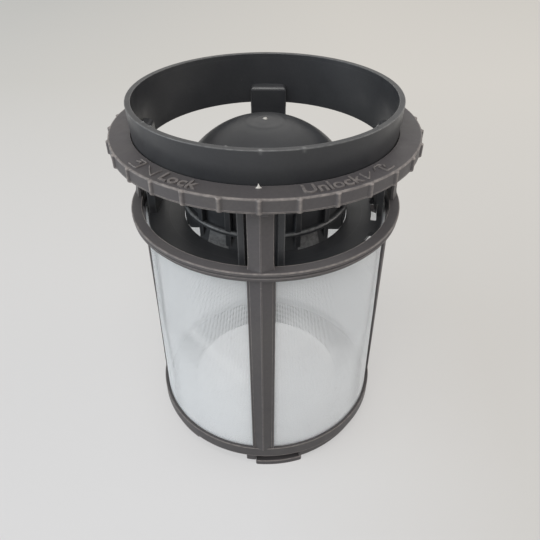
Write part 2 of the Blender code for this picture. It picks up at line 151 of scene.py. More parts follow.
def soft_outline(corners: list[Corner], steps: int = 4) -> Outline:
    """Round every corner of a closed polygon.

    Each corner becomes a quadratic curve between its two tangent points, which lie
    radius / tan(half the corner's angle) from it, with one more point just outside each
    tangent point so that the flats stay flat when the mesh is shaded smooth.

    Args:
        corners: (x, y, fillet radius, paleness from scuffing and painted highlight) for each corner, in
            order.
        steps: Steps along each rounded corner.

    Returns:
        The rounded outline.
    """
    table = np.asarray(corners, dtype=float)
    here = table[:, :2]
    to_last = np.roll(here, 1, axis=0) - here
    to_next = np.roll(here, -1, axis=0) - here
    last_length = np.linalg.norm(to_last, axis=1)
    next_length = np.linalg.norm(to_next, axis=1)
    to_last /= last_length[:, None]
    to_next /= next_length[:, None]
    cosine = np.clip(np.sum(to_last * to_next, axis=1), -COSINE_LIMIT, COSINE_LIMIT)
    cut = table[:, 2] / np.tan(np.arccos(cosine) / 2.0)
    cut = np.minimum(cut, FILLET_SHARE * np.minimum(last_length, next_length))
    first = here + to_last * cut[:, None]
    final = here + to_next * cut[:, None]
    share = np.linspace(0.0, 1.0, steps + 1)[None, :, None]
    bend = first[:, None] * (1 - share) ** 2 + here[:, None] * 2 * share * (1 - share)
    bend = bend + final[:, None] * share**2
    before = here + to_last * (cut + np.minimum(GUARD_REACH, GUARD_SHARE * last_length))[:, None]
    after = here + to_next * (cut + np.minimum(GUARD_REACH, GUARD_SHARE * next_length))[:, None]
    rows = np.concatenate([before[:, None], bend, after[:, None]], axis=1)
    wear_highlight_crease = np.repeat(table[:, 3:4], steps + 3, axis=1)
    wear_highlight_crease[:, 0] = 0.0
    wear_highlight_crease[:, -1] = 0.0
    return Outline(rows.reshape(-1, 2), wear_highlight_crease.reshape(-1))


def same(value: float) -> Corner:
    """One value for all four corners of a rectangle."""
    return (value, value, value, value)


def rectangle(
    low: Span, high: Span, radii: Corner = same(0.1), wears_and_highlights: Corner = same(0.0), steps: int = 4
) -> Outline:
    """A rounded rectangle, whose corners go low-low, low-high, high-high and high-low.

    Args:
        low: The low corner.
        high: The high corner.
        radii: The fillet of each corner.
        wears_and_highlights: How pale each corner is, from scuffing and painted highlight.
        steps: Steps along each rounded corner.

    Returns:
        The outline.
    """
    places = ((low[0], low[1]), (low[0], high[1]), (high[0], high[1]), (high[0], low[1]))
    return soft_outline([(*place, radius, wear_highlight_crease) for place, radius, wear_highlight_crease in zip(places, radii, wears_and_highlights)], steps)


def mirrored(half: list[Corner], *middle: Corner) -> list[Corner]:
    """The corners of the left half, those on the middle line, and the mirrored right half."""
    return [*half, *middle, *((-across, out, radius, wear_highlight_crease) for across, out, radius, wear_highlight_crease in reversed(half))]


def grid_faces(rows: int, columns: int, wrap_rows: bool) -> list[list[int]]:
    """Quads of a grid whose last column joins its first.

    Point (i, j) of the grid has the number i * columns + j.

    Args:
        rows: How many rows the grid has.
        columns: How many columns it has.
        wrap_rows: Whether the last row joins the first.

    Returns:
        The point numbers of each quad.
    """
    down = np.arange(rows if wrap_rows else rows - 1)
    i, j = np.meshgrid(down, np.arange(columns), indexing="ij")
    i_next = (i + 1) % rows
    j_next = (j + 1) % columns
    quads = (i * columns + j, i * columns + j_next, i_next * columns + j_next, i_next * columns + j)
    return np.stack(quads, axis=-1).reshape(-1, 4).tolist()


def grid_patch(grid: np.ndarray, wear_highlight_crease: np.ndarray, wrap_rows: bool = True, capped: bool = False) -> Patch:
    """A patch from a grid of points whose columns close on themselves.

    Args:
        grid: Points (rows, columns, 3).
        wear_highlight_crease: Paleness that broadcasts to (rows, columns): scuffing and painted highlight on
            the plastics, creases on the cloth.
        wrap_rows: Whether the last row joins the first.
        capped: Whether the end rows are filled.

    Returns:
        The patch.
    """
    rows, columns = grid.shape[:2]
    faces = grid_faces(rows, columns, wrap_rows)
    if capped:
        faces.append(list(range(columns)))
        faces.append(list(range((rows - 1) * columns, rows * columns))[::-1])
    return Patch(grid.reshape(-1, 3), faces, np.broadcast_to(wear_highlight_crease, (rows, columns)).reshape(-1))


def cylinder_points(radius: np.ndarray, azimuth: np.ndarray, height: np.ndarray) -> np.ndarray:
    """Points at x = r sin(azimuth), y = -r cos(azimuth), z = height.

    Args:
        radius: Distances from the axis.
        azimuth: Azimuths in degrees.
        height: Heights.

    Returns:
        The points, along one more axis than the broadcast arguments.
    """
    turn = np.radians(azimuth)
    radius, turn, height = np.broadcast_arrays(radius, turn, height)
    return np.stack([radius * np.sin(turn), -radius * np.cos(turn), height], axis=-1)


def ring(outline: Outline, columns: int = 240) -> Patch:
    """A closed (radius, height) outline turned once round the axis.

    Args:
        outline: The section.
        columns: How many columns the turn has.

    Returns:
        The patch, a closed surface.
    """
    turns = np.linspace(0.0, 360.0, columns, endpoint=False)
    radius, height = outline.points[:, 0][None, :], outline.points[:, 1][None, :]
    return grid_patch(cylinder_points(radius, turns[:, None], height), outline.wear_highlight_crease[None, :])


def sector(outline: Outline, span: Span, columns: int, soft_end: float = 0.25) -> Patch:
    """A closed (radius, height) outline carried between two azimuths, with softly closed ends.

    The outline shrinks towards its centre over the last soft_end millimetres of either end
    as the quarter of a circle does.

    Args:
        outline: The section.
        span: The first and the last azimuth.
        columns: How many columns lie between the ends.
        soft_end: Length of each end's rounding.

    Returns:
        The patch, closed at both ends.
    """
    start, end = span
    reach = math.radians(end - start) * float(outline.points[:, 0].mean())
    near = soft_end * (1.0 - np.cos(np.linspace(0.0, math.pi / 2.0, 4)))
    straight = np.linspace(soft_end, reach - soft_end, columns)
    run = np.concatenate([near[:-1], straight, reach - near[:-1][::-1]])
    edge = np.minimum(run, reach - run)
    inset = soft_end - np.sqrt(np.maximum(soft_end**2 - np.maximum(soft_end - edge, 0.0) ** 2, 0.0))
    centre = (outline.points.max(axis=0) + outline.points.min(axis=0)) / 2.0
    half = (outline.points.max(axis=0) - outline.points.min(axis=0)) / 2.0
    scale = 1.0 - inset[:, None, None] / half[None, None, :]
    section = centre + (outline.points - centre)[None, :, :] * scale
    turns = start + (end - start) * run / reach
    grid = cylinder_points(section[:, :, 0], turns[:, None], section[:, :, 1])
    return grid_patch(grid, outline.wear_highlight_crease[None, :], wrap_rows=False, capped=True)


def upright(sections: np.ndarray, heights: np.ndarray, wear_highlight_crease: np.ndarray) -> Patch:
    """Closed (across, out) sections standing over each other on the side that faces -Y.

    Args:
        sections: (levels, points, 2) in millimetres.
        heights: (levels,) or (levels, points) heights.
        wear_highlight_crease: (points,) paleness, from scuffing and painted highlight.

    Returns:
        The patch, closed at both ends.
    """
    level = heights[:, None] if heights.ndim == 1 else heights
    level = np.broadcast_to(level, sections.shape[:2])
    grid = np.stack([sections[:, :, 0], -sections[:, :, 1], level], axis=-1)
    return grid_patch(grid, wear_highlight_crease[None, :], wrap_rows=False, capped=True)


def straight_bar(outline: Outline, base: float, top: float, guard: float = 0.2) -> Patch:
    """One section carried straight up.

    Args:
        outline: The (across, out) section.
        base: Height of its foot.
        top: Height of its head.
        guard: Distance of one more level from either end.

    Returns:
        The patch, closed at both ends.
    """
    heights = np.array([base, base + guard, (base + top) / 2.0, top - guard, top])
    return upright(np.repeat(outline.points[None], len(heights), axis=0), heights, outline.wear_highlight_crease)


def ridge_along(path: np.ndarray, width: float, rise: float, wear_highlight_crease: float = 0.6, depth: float = 0.3) -> Patch:
    """A low half-round ridge carried along a path that lies on a near-level face.

    The section is the upper half of an ellipse, width across and rise high, with one point
    under the face, and the ridge closes at its ends.

    Args:
        path: Points (N, 3).
        width: Width of the ridge.
        rise: Height of the ridge.
        wear_highlight_crease: Paleness along its crest, from scuffing and painted highlight.
        depth: How far its foot lies under the face.

    Returns:
        The patch.
    """
    ahead = np.gradient(path, axis=0)
    ahead /= np.linalg.norm(ahead, axis=1)[:, None]
    side = np.cross(ahead, np.array([0.0, 0.0, 1.0]))
    side /= np.linalg.norm(side, axis=1)[:, None]
    turn = np.linspace(0.0, math.pi, 7)
    sweep = path[:, None] + side[:, None] * (np.cos(turn) * width / 2.0)[None, :, None]
    sweep[:, :, 2] += (np.sin(turn) * rise)[None, :]
    foot = path[:, None] - np.array([0.0, 0.0, depth])[None, None]
    # Painted highlight along the crest, with some scuffing.
    crest_wear_and_highlight = np.array([0.2, 0.6, 1, 1, 1, 0.6, 0.2, 0]) * wear_highlight_crease
    return grid_patch(np.concatenate([sweep, foot], axis=1), crest_wear_and_highlight, wrap_rows=False, capped=True)


def store_wear_highlight_crease(mesh: bpy.types.Mesh, wear_highlight_crease: np.ndarray) -> None:
    """Keep how pale a mesh's points are where its material reads it: scuffing and painted highlight on the
    plastics, creases on the cloth.
    """
    mesh.attributes.new("wear_highlight_crease", "FLOAT", "POINT").data.foreach_set("value", wear_highlight_crease.astype(np.float32))


def face_outwards(mesh: bpy.types.Mesh) -> None:
    """Turn every face of a closed mesh outwards.

    Args:
        mesh: The mesh, changed in place.
    """
    shape = bmesh.new()
    shape.from_mesh(mesh)
    bmesh.ops.recalc_face_normals(shape, faces=shape.faces)
    shape.to_mesh(mesh)
    shape.free()


# Finishes.


def srgb(red: float, green: float, blue: float) -> tuple[float, float, float, float]:
    """A linear colour from eight-bit display values.

    Args:
        red: Red, 0 to 255.
        green: Green, 0 to 255.
        blue: Blue, 0 to 255.

    Returns:
        The linear colour with an alpha of one.
    """
    level = np.array([red, green, blue]) / 255.0
    linear = np.where(level <= 0.04045, level / 12.92, ((level + 0.055) / 1.055) ** 2.4)
    return (float(linear[0]), float(linear[1]), float(linear[2]), 1.0)


def dimmed(colour: Colour, share: float) -> tuple[float, float, float, float]:
    """A linear colour from a share of eight-bit display values."""
    return srgb(*(share * value for value in colour))


@dataclass
class NodeBench:
    """A material under construction."""

    name: str
    material: bpy.types.Material = field(init=False)

    def __post_init__(self) -> None:
        """Start the material with its shader and its object coordinates."""
        self.material = bpy.data.materials.new(self.name)
        self.material.use_nodes = True
        self.nodes = self.material.node_tree.nodes
        self.links = self.material.node_tree.links
        self.shader = self.nodes["Principled BSDF"]
        self.place = self.add("ShaderNodeTexCoord").outputs["Object"]

    def add(self, kind: str, **values: object) -> bpy.types.Node:
        """Add a node.

        Args:
            kind: The node's type.
            **values: Its properties.

        Returns:
            The node.
        """
        node = self.nodes.new(kind)
        for key, value in values.items():
            setattr(node, key, value)
        return node

    def join(self, source: Socket, target: Socket) -> None:
        """Link two sockets."""
        self.links.new(source, target)

    def feed(self, value: object, target: Socket) -> None:
        """Link a socket to a target, or set the target's own value.

        Args:
            value: A socket, a number or a colour.
            target: The socket that takes it.
        """
        if isinstance(value, (int, float, tuple)):
            target.default_value = value
        else:
            self.join(value, target)

    def split(self, source: Socket) -> bpy.types.bpy_prop_collection:
        """The X, Y and Z of a vector.

        Args:
            source: The vector.

        Returns:
            The three sockets by name.
        """
        node = self.add("ShaderNodeSeparateXYZ")
        self.join(source, node.inputs["Vector"])
        return node.outputs

    def noise(self, size: float, detail: float = 2.0, stretch: Triple = (1, 1, 1)) -> Socket:
        """Noise whose features are about size millimetres across.

        Args:
            size: Their size.
            detail: Octaves of finer noise.
            stretch: How much closer the features lie along X, Y and Z.

        Returns:
            The noise, about 0.3 to 0.7.
        """
        mapping = self.add("ShaderNodeMapping")
        mapping.inputs["Scale"].default_value = stretch
        self.join(self.place, mapping.inputs["Vector"])
        node = self.add("ShaderNodeTexNoise")
        node.inputs["Scale"].default_value = 1.0 / (size * MM)
        node.inputs["Detail"].default_value = detail
        self.join(mapping.outputs["Vector"], node.inputs["Vector"])
        return node.outputs["Fac"]

    def cells(self, size: float) -> bpy.types.bpy_prop_collection:
        """Scattered points about size millimetres apart: the distance to each and a colour of its own.

        Args:
            size: Their mean distance.

        Returns:
            The node's outputs.
        """
        node = self.add("ShaderNodeTexVoronoi", feature="F1")
        node.inputs["Scale"].default_value = 1.0 / (size * MM)
        self.join(self.place, node.inputs["Vector"])
        return node.outputs

    def remap(self, source: Socket, low: float, high: float, to_low: float, to_high: float) -> Socket:
        """Stretch a value from one range to another, clamped.

        Args:
            source: The value.
            low: Where the range starts.
            high: Where it ends.
            to_low: What its start becomes.
            to_high: What its end becomes.

        Returns:
            The stretched value.
        """
        node = self.add("ShaderNodeMapRange")
        for key, value in (("From Min", low), ("From Max", high), ("To Min", to_low), ("To Max", to_high)):
            node.inputs[key].default_value = value
        self.join(source, node.inputs["Value"])
        return node.outputs["Result"]

    def sums(self, operation: str, first: object, second: object = 0.0) -> Socket:
        """Arithmetic on sockets or numbers.

        Args:
            operation: The Math node's operation.
            first: Its first value.
            second: Its second value, where it takes one.

        Returns:
            The result.
        """
        node = self.add("ShaderNodeMath", operation=operation)
        self.feed(first, node.inputs[0])
        self.feed(second, node.inputs[1])
        return node.outputs["Value"]

    def blend(self, share: Socket, first: object, second: object) -> Socket:
        """Mix two colours.

        Args:
            share: How much of the second shows.
            first: A colour or a socket.
            second: A colour or a socket.

        Returns:
            The mixed colour.
        """
        node = self.add("ShaderNodeMix", data_type="RGBA")
        self.join(share, node.inputs["Factor"])
        for key, value in (("A", first), ("B", second)):
            self.feed(value, next(s for s in node.inputs if s.name == key and s.type == "RGBA"))
        return next(s for s in node.outputs if s.type == "RGBA")

    def cover(self, share: object, under: Socket, over: Socket) -> Socket:
        """Mix two shaders.

        Args:
            share: How much of the upper one shows, a number or a socket.
            under: The lower shader.
            over: The upper shader.

        Returns:
            The mixed shader.
        """
        node = self.add("ShaderNodeMixShader")
        self.feed(share, node.inputs["Fac"])
        self.join(under, node.inputs[1])
        self.join(over, node.inputs[2])
        return node.outputs["Shader"]

    def attribute(self, name: str) -> Socket:
        """A value stored on the mesh."""
        return self.add("ShaderNodeAttribute", attribute_name=name).outputs["Fac"]

    def bump(self, height: Socket, depth: float, strength: float) -> None:
        """Raise the surface.

        Args:
            height: The relief, 0 to 1.
            depth: Its full height in millimetres.
            strength: How strongly it tells in the shading.
        """
        node = self.add("ShaderNodeBump")
        node.inputs["Distance"].default_value = depth * MM
        node.inputs["Strength"].default_value = strength
        self.join(height, node.inputs["Height"])
        self.join(node.outputs["Normal"], self.shader.inputs["Normal"])

    def finish(self, surface: Socket) -> None:
        """Show a shader on the surface."""
        self.join(surface, self.nodes["Material Output"].inputs["Surface"])


@dataclass(frozen=True)
class MouldedPlastic:
    """Matt moulded plastic: grain, faint clouds, pale scuffed edges with painted highlights, dust specks and
    painted shade low down.
    """

    name: str
    colour: Colour
    cloud: Colour
    # The paler colour of scuffed edges and of painted highlights.
    rubbed_and_highlight: Colour
    roughness: float
    gloss: float = 0.45
    cloud_size: float = 16.0
    mottle_size: float = 0.9
    mottle_share: float = 0.22
    mottle_shade: float = 0.72
    # Painted shade low down: how strongly the foot darkens, over which heights, and to what share of the
    # colour.
    painted_low_shade: float = 0.0
    painted_shade_span: Span = (25.0, 94.0)
    painted_shade_dimming: float = 0.6
    # Size and stretch of the noise that breaks up the scuffing and the painted highlight.
    rub_and_highlight_size: float = 1.6
    rub_and_highlight_stretch: Triple = (1, 1, 1.6)
    speck_size: float = 3.2
    speck_edge: Span = (0.028, 0.05)
    speck_chance: Span = (0.90, 0.92)
    speck_share: float = 0.5
    speck_colour: Colour = (176, 174, 168)
    sheen_size: float = 5.0
    sheen_spread: Span = (0.05, 0.07)
    grain_size: float = 0.32
    grain_depth: float = 0.012
    swell_size: float = 4.0
    swell_share: float = 1.2
    relief: float = 0.8

    def build(self) -> bpy.types.Material:
        """Make the material's nodes.

        Returns:
            The material.
        """
        bench = NodeBench(self.name)
        bench.join(self.dusted(bench, self.worn_and_highlighted(bench)), bench.shader.inputs["Base Color"])
        low, high = self.roughness - self.sheen_spread[0], self.roughness + self.sheen_spread[1]
        rough = bench.remap(bench.noise(self.sheen_size, 3.0), 0.3, 0.7, low, high)
        bench.join(rough, bench.shader.inputs["Roughness"])
        bench.shader.inputs["Specular IOR Level"].default_value = self.gloss
        swell = bench.sums("MULTIPLY", bench.noise(self.swell_size), self.swell_share)
        bench.bump(bench.sums("ADD", bench.noise(self.grain_size), swell), self.grain_depth, self.relief)
        return bench.material

    def worn_and_highlighted(self, bench: NodeBench) -> Socket:
        """The clouded and mottled colour, darker low down as painted shade, paler where it is scuffed and
        where highlights are painted.

        Args:
            bench: The material.

        Returns:
            The colour.
        """
        clouds = bench.remap(bench.noise(self.cloud_size, 3.0), 0.35, 0.68, 0.0, 1.0)
        mottle = bench.remap(bench.noise(self.mottle_size, 4.0), 0.3, 0.7, 0.0, 1.0)
        base = bench.blend(clouds, srgb(*self.colour), srgb(*self.cloud))
        shade = bench.sums("MULTIPLY", mottle, self.mottle_share)
        base = bench.blend(shade, base, dimmed(self.colour, self.mottle_shade))
        # Painted shade: the colour darkens towards the bottom over a span of heights.
        if self.painted_low_shade:
            foot, head = self.painted_shade_span
            low = bench.remap(bench.split(bench.place)["Z"], foot * MM, head * MM, self.painted_low_shade, 0.0)
            base = bench.blend(low, base, dimmed(self.colour, self.painted_shade_dimming))
        # Pale marks: scuffing and painted highlight along edges and crests, broken up by noise.
        rub_and_highlight = bench.remap(bench.noise(self.rub_and_highlight_size, 3.0, self.rub_and_highlight_stretch), 0.32, 0.66, 0.35, 1.0)
        return bench.blend(bench.sums("MULTIPLY", bench.attribute("wear_highlight_crease"), rub_and_highlight), base, srgb(*self.rubbed_and_highlight))

    def dusted(self, bench: NodeBench, base: Socket) -> Socket:
        """The colour with a pale speck at a few of its scattered points.

        Args:
            bench: The material.
            base: The colour under the specks.

        Returns:
            The colour with them.
        """
        speck = bench.cells(self.speck_size)
        near = bench.remap(speck["Distance"], *self.speck_edge, 1.0, 0.0)
        lucky = bench.add("ShaderNodeSeparateColor")
        bench.join(speck["Color"], lucky.inputs["Color"])
        chosen = bench.remap(lucky.outputs["Red"], *self.speck_chance, 0.0, self.speck_share)
        return bench.blend(bench.sums("MULTIPLY", near, chosen), base, srgb(*self.speck_colour))


@dataclass(frozen=True)
class WovenMesh:
    """Fine white monofilament cloth: crossing threads with square holes, closer towards the foot.

    A point is on a thread where the cosine of its place along the pitch is above the edge value.
    """

    name: str
    colour: Colour
    shadow: Colour
    pitch: float
    open_edge: float
    tight_edge: float
    glow: float
    tight_span: Span = (30.0, 58.0)
    crease_closing: float = 0.5
    crease_share: float = 0.6
    crease_colour: Colour = (252, 252, 252)
    thread_edge: float = 0.2
    cloud_size: float = 22.0
    spot_size: float = 9.0
    spot_colour: Colour = (150, 148, 142)
    roughness: float = 0.62
    gloss: float = 0.3
    thread_depth: float = 0.005
    relief: float = 0.1

    def build(self) -> bpy.types.Material:
        """Make the material's nodes.

        Returns:
            The material.
        """
        bench = NodeBench(self.name)
        flat = bench.add("ShaderNodeUVMap", uv_map="weave").outputs["UV"]
        parts = bench.split(flat)
        crease = bench.attribute("wear_highlight_crease")
        thread = self.threads(bench, parts, crease)
        base = self.tinted(bench, crease)
        bench.join(base, bench.shader.inputs["Base Color"])
        bench.shader.inputs["Roughness"].default_value = self.roughness
        bench.shader.inputs["Specular IOR Level"].default_value = self.gloss
        bench.bump(thread, self.thread_depth, self.relief)
        glow = bench.add("ShaderNodeBsdfTranslucent")
        bench.join(base, glow.inputs["Color"])
        cloth = bench.cover(self.glow, bench.shader.outputs["BSDF"], glow.outputs["BSDF"])
        clear = bench.add("ShaderNodeBsdfTransparent")
        bench.finish(bench.cover(thread, clear.outputs["BSDF"], cloth))
        return bench.material

    def threads(self, bench: NodeBench, parts: bpy.types.bpy_prop_collection, crease: Socket) -> Socket:
        """Where the threads are, closer low down and on creases.

        Args:
            bench: The material.
            parts: The unrolled place as X and Y.
            crease: How strongly a point lies on a crease.

        Returns:
            One on a thread and zero in a hole.
        """
        tight = bench.remap(parts["Y"], *self.tight_span, self.tight_edge, self.open_edge)
        tight = bench.sums("SUBTRACT", tight, bench.sums("MULTIPLY", crease, self.crease_closing))
        found = []
        for axis in ("X", "Y"):
            phase = bench.sums("MULTIPLY", parts[axis], 2.0 * math.pi / self.pitch)
            crest = bench.sums("SUBTRACT", bench.sums("COSINE", phase), tight)
            found.append(bench.remap(crest, -self.thread_edge, self.thread_edge, 0.0, 1.0))
        return bench.sums("MAXIMUM", *found)

    def tinted(self, bench: NodeBench, crease: Socket) -> Socket:
        """The faintly clouded white, with a few soft spots and whiter creases.

        Args:
            bench: The material.
            crease: How strongly a point lies on a crease.

        Returns:
            The colour.
        """
        clouds = bench.remap(bench.noise(self.cloud_size), 0.35, 0.65, 0.0, 0.6)
        base = bench.blend(clouds, srgb(*self.colour), srgb(*self.shadow))
        near = bench.remap(bench.cells(self.spot_size)["Distance"], 0.02, 0.06, 0.3, 0.0)
        base = bench.blend(near, base, srgb(*self.spot_colour))
        return bench.blend(bench.sums("MULTIPLY", crease, self.crease_share), base, srgb(*self.crease_colour))


# The third colour of each plastic is painted on scuffed edges and as painted highlight.
FRAME_PLASTIC = MouldedPlastic(
    # Painted shade: the last argument darkens the frame towards its foot.
    "frame_grey_plastic", (84, 81, 83), (89, 86, 86), (148, 141, 137), 0.46, gloss=0.35, painted_low_shade=0.42
)
INSERT_PLASTIC = MouldedPlastic(
    "insert_dark_plastic", (54, 55, 58), (59, 60, 62), (126, 126, 126), 0.34, gloss=0.5, grain_depth=0.006
)
STRESSED_PLASTIC = MouldedPlastic("torn_gate_plastic", (186, 182, 176), (170, 166, 160), (215, 212, 206), 0.6)
MESH_CLOTH = WovenMesh("white_mesh_cloth", (244, 246, 248), (239, 241, 243), 0.5, 0.68, 0.1, 0.3)

ON_FRAME = (Body.FRAME, Slot.FRAME, "filter_frame")
ON_INSERT = (Body.INSERT, Slot.INSERT, "coarse_insert")


@dataclass
class PartsBin:
    """Turns patches into pieces of the scene."""

    finishes: dict[str, bpy.types.Material] = field(default_factory=dict)
    made: int = 0

    def material(self, finish: MouldedPlastic | WovenMesh) -> bpy.types.Material:
        """The finish's material, built once.

        Args:
            finish: The finish.

        Returns:
            Its material.
        """
        if finish.name not in self.finishes:
            self.finishes[finish.name] = finish.build()
        return self.finishes[finish.name]

    def mesh(self, name: str, patches: list[Patch]) -> bpy.types.Mesh:
        """One mesh in metres, with outward normals and its wear stored on its points.

        Args:
            name: The mesh's name.
            patches: Its surfaces.

        Returns:
            The mesh.
        """
        offsets = np.cumsum([0] + [len(patch.points) for patch in patches])
        points = np.concatenate([patch.points for patch in patches]) * MM
        faces = [
            [int(offset) + corner for corner in face]
            for patch, offset in zip(patches, offsets)
            for face in patch.faces
        ]
        mesh = bpy.data.meshes.new(name)
        mesh.from_pydata(points, [], faces)
        store_wear_highlight_crease(mesh, np.concatenate([patch.wear_highlight_crease for patch in patches]))
        face_outwards(mesh)
        return mesh

    def piece(
        self,
        name: str,
        patches: list[Patch],
        finish: MouldedPlastic | WovenMesh,
        body: Body,
        slot: Slot,
        node: str,
    ) -> bpy.types.Object:
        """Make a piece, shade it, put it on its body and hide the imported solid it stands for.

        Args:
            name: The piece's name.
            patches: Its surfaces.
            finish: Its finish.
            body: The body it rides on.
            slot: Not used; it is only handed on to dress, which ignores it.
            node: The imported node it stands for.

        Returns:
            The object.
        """
        mesh = self.mesh(name, patches)
        mesh.materials.append(self.material(finish))
        return self.dress(bpy.data.objects.new(name, mesh), body, slot, node)

    def dress(
        self, thing: bpy.types.Object, body: Body, slot: Slot, node: str, sharp: float = SHARP_ANGLE
    ) -> bpy.types.Object:
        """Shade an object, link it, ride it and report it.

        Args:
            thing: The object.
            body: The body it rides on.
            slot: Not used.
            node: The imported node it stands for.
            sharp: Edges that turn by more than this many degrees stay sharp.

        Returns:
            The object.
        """
        thing.data.shade_smooth()
        thing.data.set_sharp_from_angle(angle=math.radians(sharp))
        bpy.context.scene.collection.objects.link(thing)
        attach(thing, body.value)
        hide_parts(node)
        self.made += 1
        LOG.info("%s: %d points on %s", thing.name, len(thing.data.vertices), body.value)
        return thing

    def cut(self, thing: bpy.types.Object, patches: list[Patch]) -> None:
        """Cut closed patches out of a piece and keep the result as its mesh.

        Args:
            thing: The piece.
            patches: What is cut out.
        """
        cutter = bpy.data.objects.new("cutter", self.mesh("cutter", patches))
        bpy.context.scene.collection.objects.link(cutter)
        step = thing.modifiers.new("cut", "BOOLEAN")
        step.operation = "DIFFERENCE"
        step.solver = "EXACT"
        step.object = cutter
        bpy.context.view_layer.update()
        seen = thing.evaluated_get(bpy.context.evaluated_depsgraph_get())
        result = bpy.data.meshes.new_from_object(seen)
        thing.modifiers.clear()
        thing.data = result
        bpy.data.objects.remove(cutter, do_unlink=True)
        thing.data.set_sharp_from_angle(angle=math.radians(SHARP_ANGLE))


# The frame.


@dataclass
class GripFlange:
    """The flange that is turned to lock the filter: hub wall, sloping top plate and ribbed rim."""

    bore: float = 40.7
    rim: float = 47.3
    top: float = LEVELS.flange_top
    base: float = LEVELS.flange_base
    slope: float = 0.1
    draft: float = 0.1
    plate: float = 1.9
    rim_wall: float = 1.8
    hub_wall: float = 1.8
    hub_foot: float = 113.2
    ribs: int = 30
    rib_rise: float = 0.62
    rib_half_width: float = 0.8
    rib_fullness: float = 0.7
    rib_reach: float = 0.5
    rib_fade: float = 0.45
    # Rib crests are painted pale: painted highlight with some scuffing.
    rib_wear_and_highlight: float = 0.8
    beside_rib: tuple[float, ...] = (0.25, 0.5, 0.7, 0.85, 0.95, 1.05, 1.3)
    between_ribs: tuple[float, ...] = (2.2, 4.0, 6.0, 8.0, 9.8)
    sign_rise: float = 0.42
    sign_width: float = 0.5
    sign_step: float = 0.25
    sign_radius: float = 43.5
    pointers: tuple[tuple[Span, ...], ...] = (
        ((42.5, 36.3), (45.8, 36.6), (43.2, 40.1)),
        ((42.3, -37.5), (45.8, -37.8), (42.7, -43.3)),
    )
    arrows: tuple[tuple[Span, ...], ...] = (
        ((43.7, 42.4), (42.3, 43.6), (42.1, 46.2), (42.9, 47.1)),
        ((43.0, 45.5), (45.7, 45.3), (45.6, 49.7)),
        ((43.2, 47.8), (44.3, 47.2)),
        ((45.8, -50.2), (45.8, -45.7), (42.2, -46.1), (42.3, -49.9)),
        ((43.7, -49.8), (42.9, -48.0), (43.9, -47.6)),
    )
    words: tuple[tuple[str, str, float, float], ...] = (
        ("word_lock", "Lock", -34.4, 14.2),
        ("word_unlock", "Unlock", 13.7, 21.2),
    )
    word_foot: float = 45.95
    word_height: float = 3.85
    word_sink: float = 0.35
    # Raised faces of the letters are painted pale: painted highlight with some scuffing.
    word_wear_and_highlight: float = 0.62
    word_sharp: float = 30.0
    stroke_swell: float = 0.008
    stroke_depth: float = 0.05
    nib_radius: float = 41.75
    nib_points: int = 14
    nib_rise: tuple[float, ...] = (0.0, 0.2, 0.4, 0.8, 1.1)
    nib_size: tuple[float, ...] = (0.85, 0.68, 0.34, 0.18, 0.05)
    nib_wobble: float = 0.25
    nib_aside: float = 0.35
    nib_flatness: float = 0.6
    nib_lean: float = 0.3
    nib_sink: float = 0.15

    def section(self) -> Outline:
        """Section through the hub, the top plate and the hanging outer wall.

        Returns:
            The (radius, height) outline.
        """
        under = self.top - self.plate
        wall, hub = self.rim - self.rim_wall, self.bore + self.hub_wall
        # Painted highlight: the top edge and a band just above the foot of the outer wall are painted pale,
        # with some scuffing.
        return soft_outline([
            (self.bore, self.top, 0.2, 0.2),
            (self.rim, self.top - self.slope, 0.42, 0.8),
            (self.rim, self.base + 0.5, 0.12, 1.2),
            (self.rim - 0.05, self.base, 0.25, 1.0),
            (wall + self.draft, self.base, 0.2, 0.2),
            (wall, under, 0.5, 0.0),
            (hub, under, 0.5, 0.0),
            (hub - self.draft, self.hub_foot, 0.25, 0.2),
            (self.bore, self.hub_foot, 0.2, 0.1),
        ], steps=5)

    def azimuths(self) -> np.ndarray:
        """Azimuths of the columns, close together over each rib and wide apart between ribs.

        Returns:
            The azimuths in degrees.
        """
        beside = np.array(self.beside_rib)
        offsets = np.concatenate([-beside[::-1], [0.0], beside, self.between_ribs])
        return (np.arange(self.ribs)[:, None] * 360.0 / self.ribs + offsets[None, :]).reshape(-1)

    def flange(self) -> Patch:
        """The ribbed ring.

        Each rib adds rise * cos(quarter turn * distance / half width) ** fullness to the radius of
        the outer wall, faded in over the last half millimetre of the top plate.

        Returns:
            The patch, a closed surface.
        """
        outline = self.section()
        azimuths = self.azimuths()
        pitch = 360.0 / self.ribs
        from_rib = (azimuths + pitch / 2.0) % pitch - pitch / 2.0
        distance = np.radians(np.abs(from_rib)) * self.rim
        swell = np.clip(np.cos(math.pi / 2.0 * distance / self.rib_half_width), 0.0, 1.0) ** self.rib_fullness
        bump = np.where(distance < self.rib_half_width, self.rib_rise * swell, 0.0)
        radius, height = outline.points[:, 0], outline.points[:, 1]
        outer = np.clip((radius - (self.rim - self.rib_reach)) / self.rib_fade, 0.0, 1.0)
        grown = radius[None, :] + outer[None, :] * bump[:, None]
        # Painted highlight on the rib crests, with some scuffing.
        rubbed_and_highlight = self.rib_wear_and_highlight * outer[None, :] * (bump[:, None] / self.rib_rise) ** 4
        wear_highlight_crease = np.clip(outline.wear_highlight_crease[None, :] + rubbed_and_highlight, 0.0, 1.2)
        return grid_patch(cylinder_points(grown, azimuths[:, None], height[None, :]), wear_highlight_crease)

    def surface(self, radius: np.ndarray | float) -> np.ndarray | float:
        """Height of the sloping top plate at a radius."""
        return self.top - self.slope * (radius - self.bore) / (self.rim - self.bore)

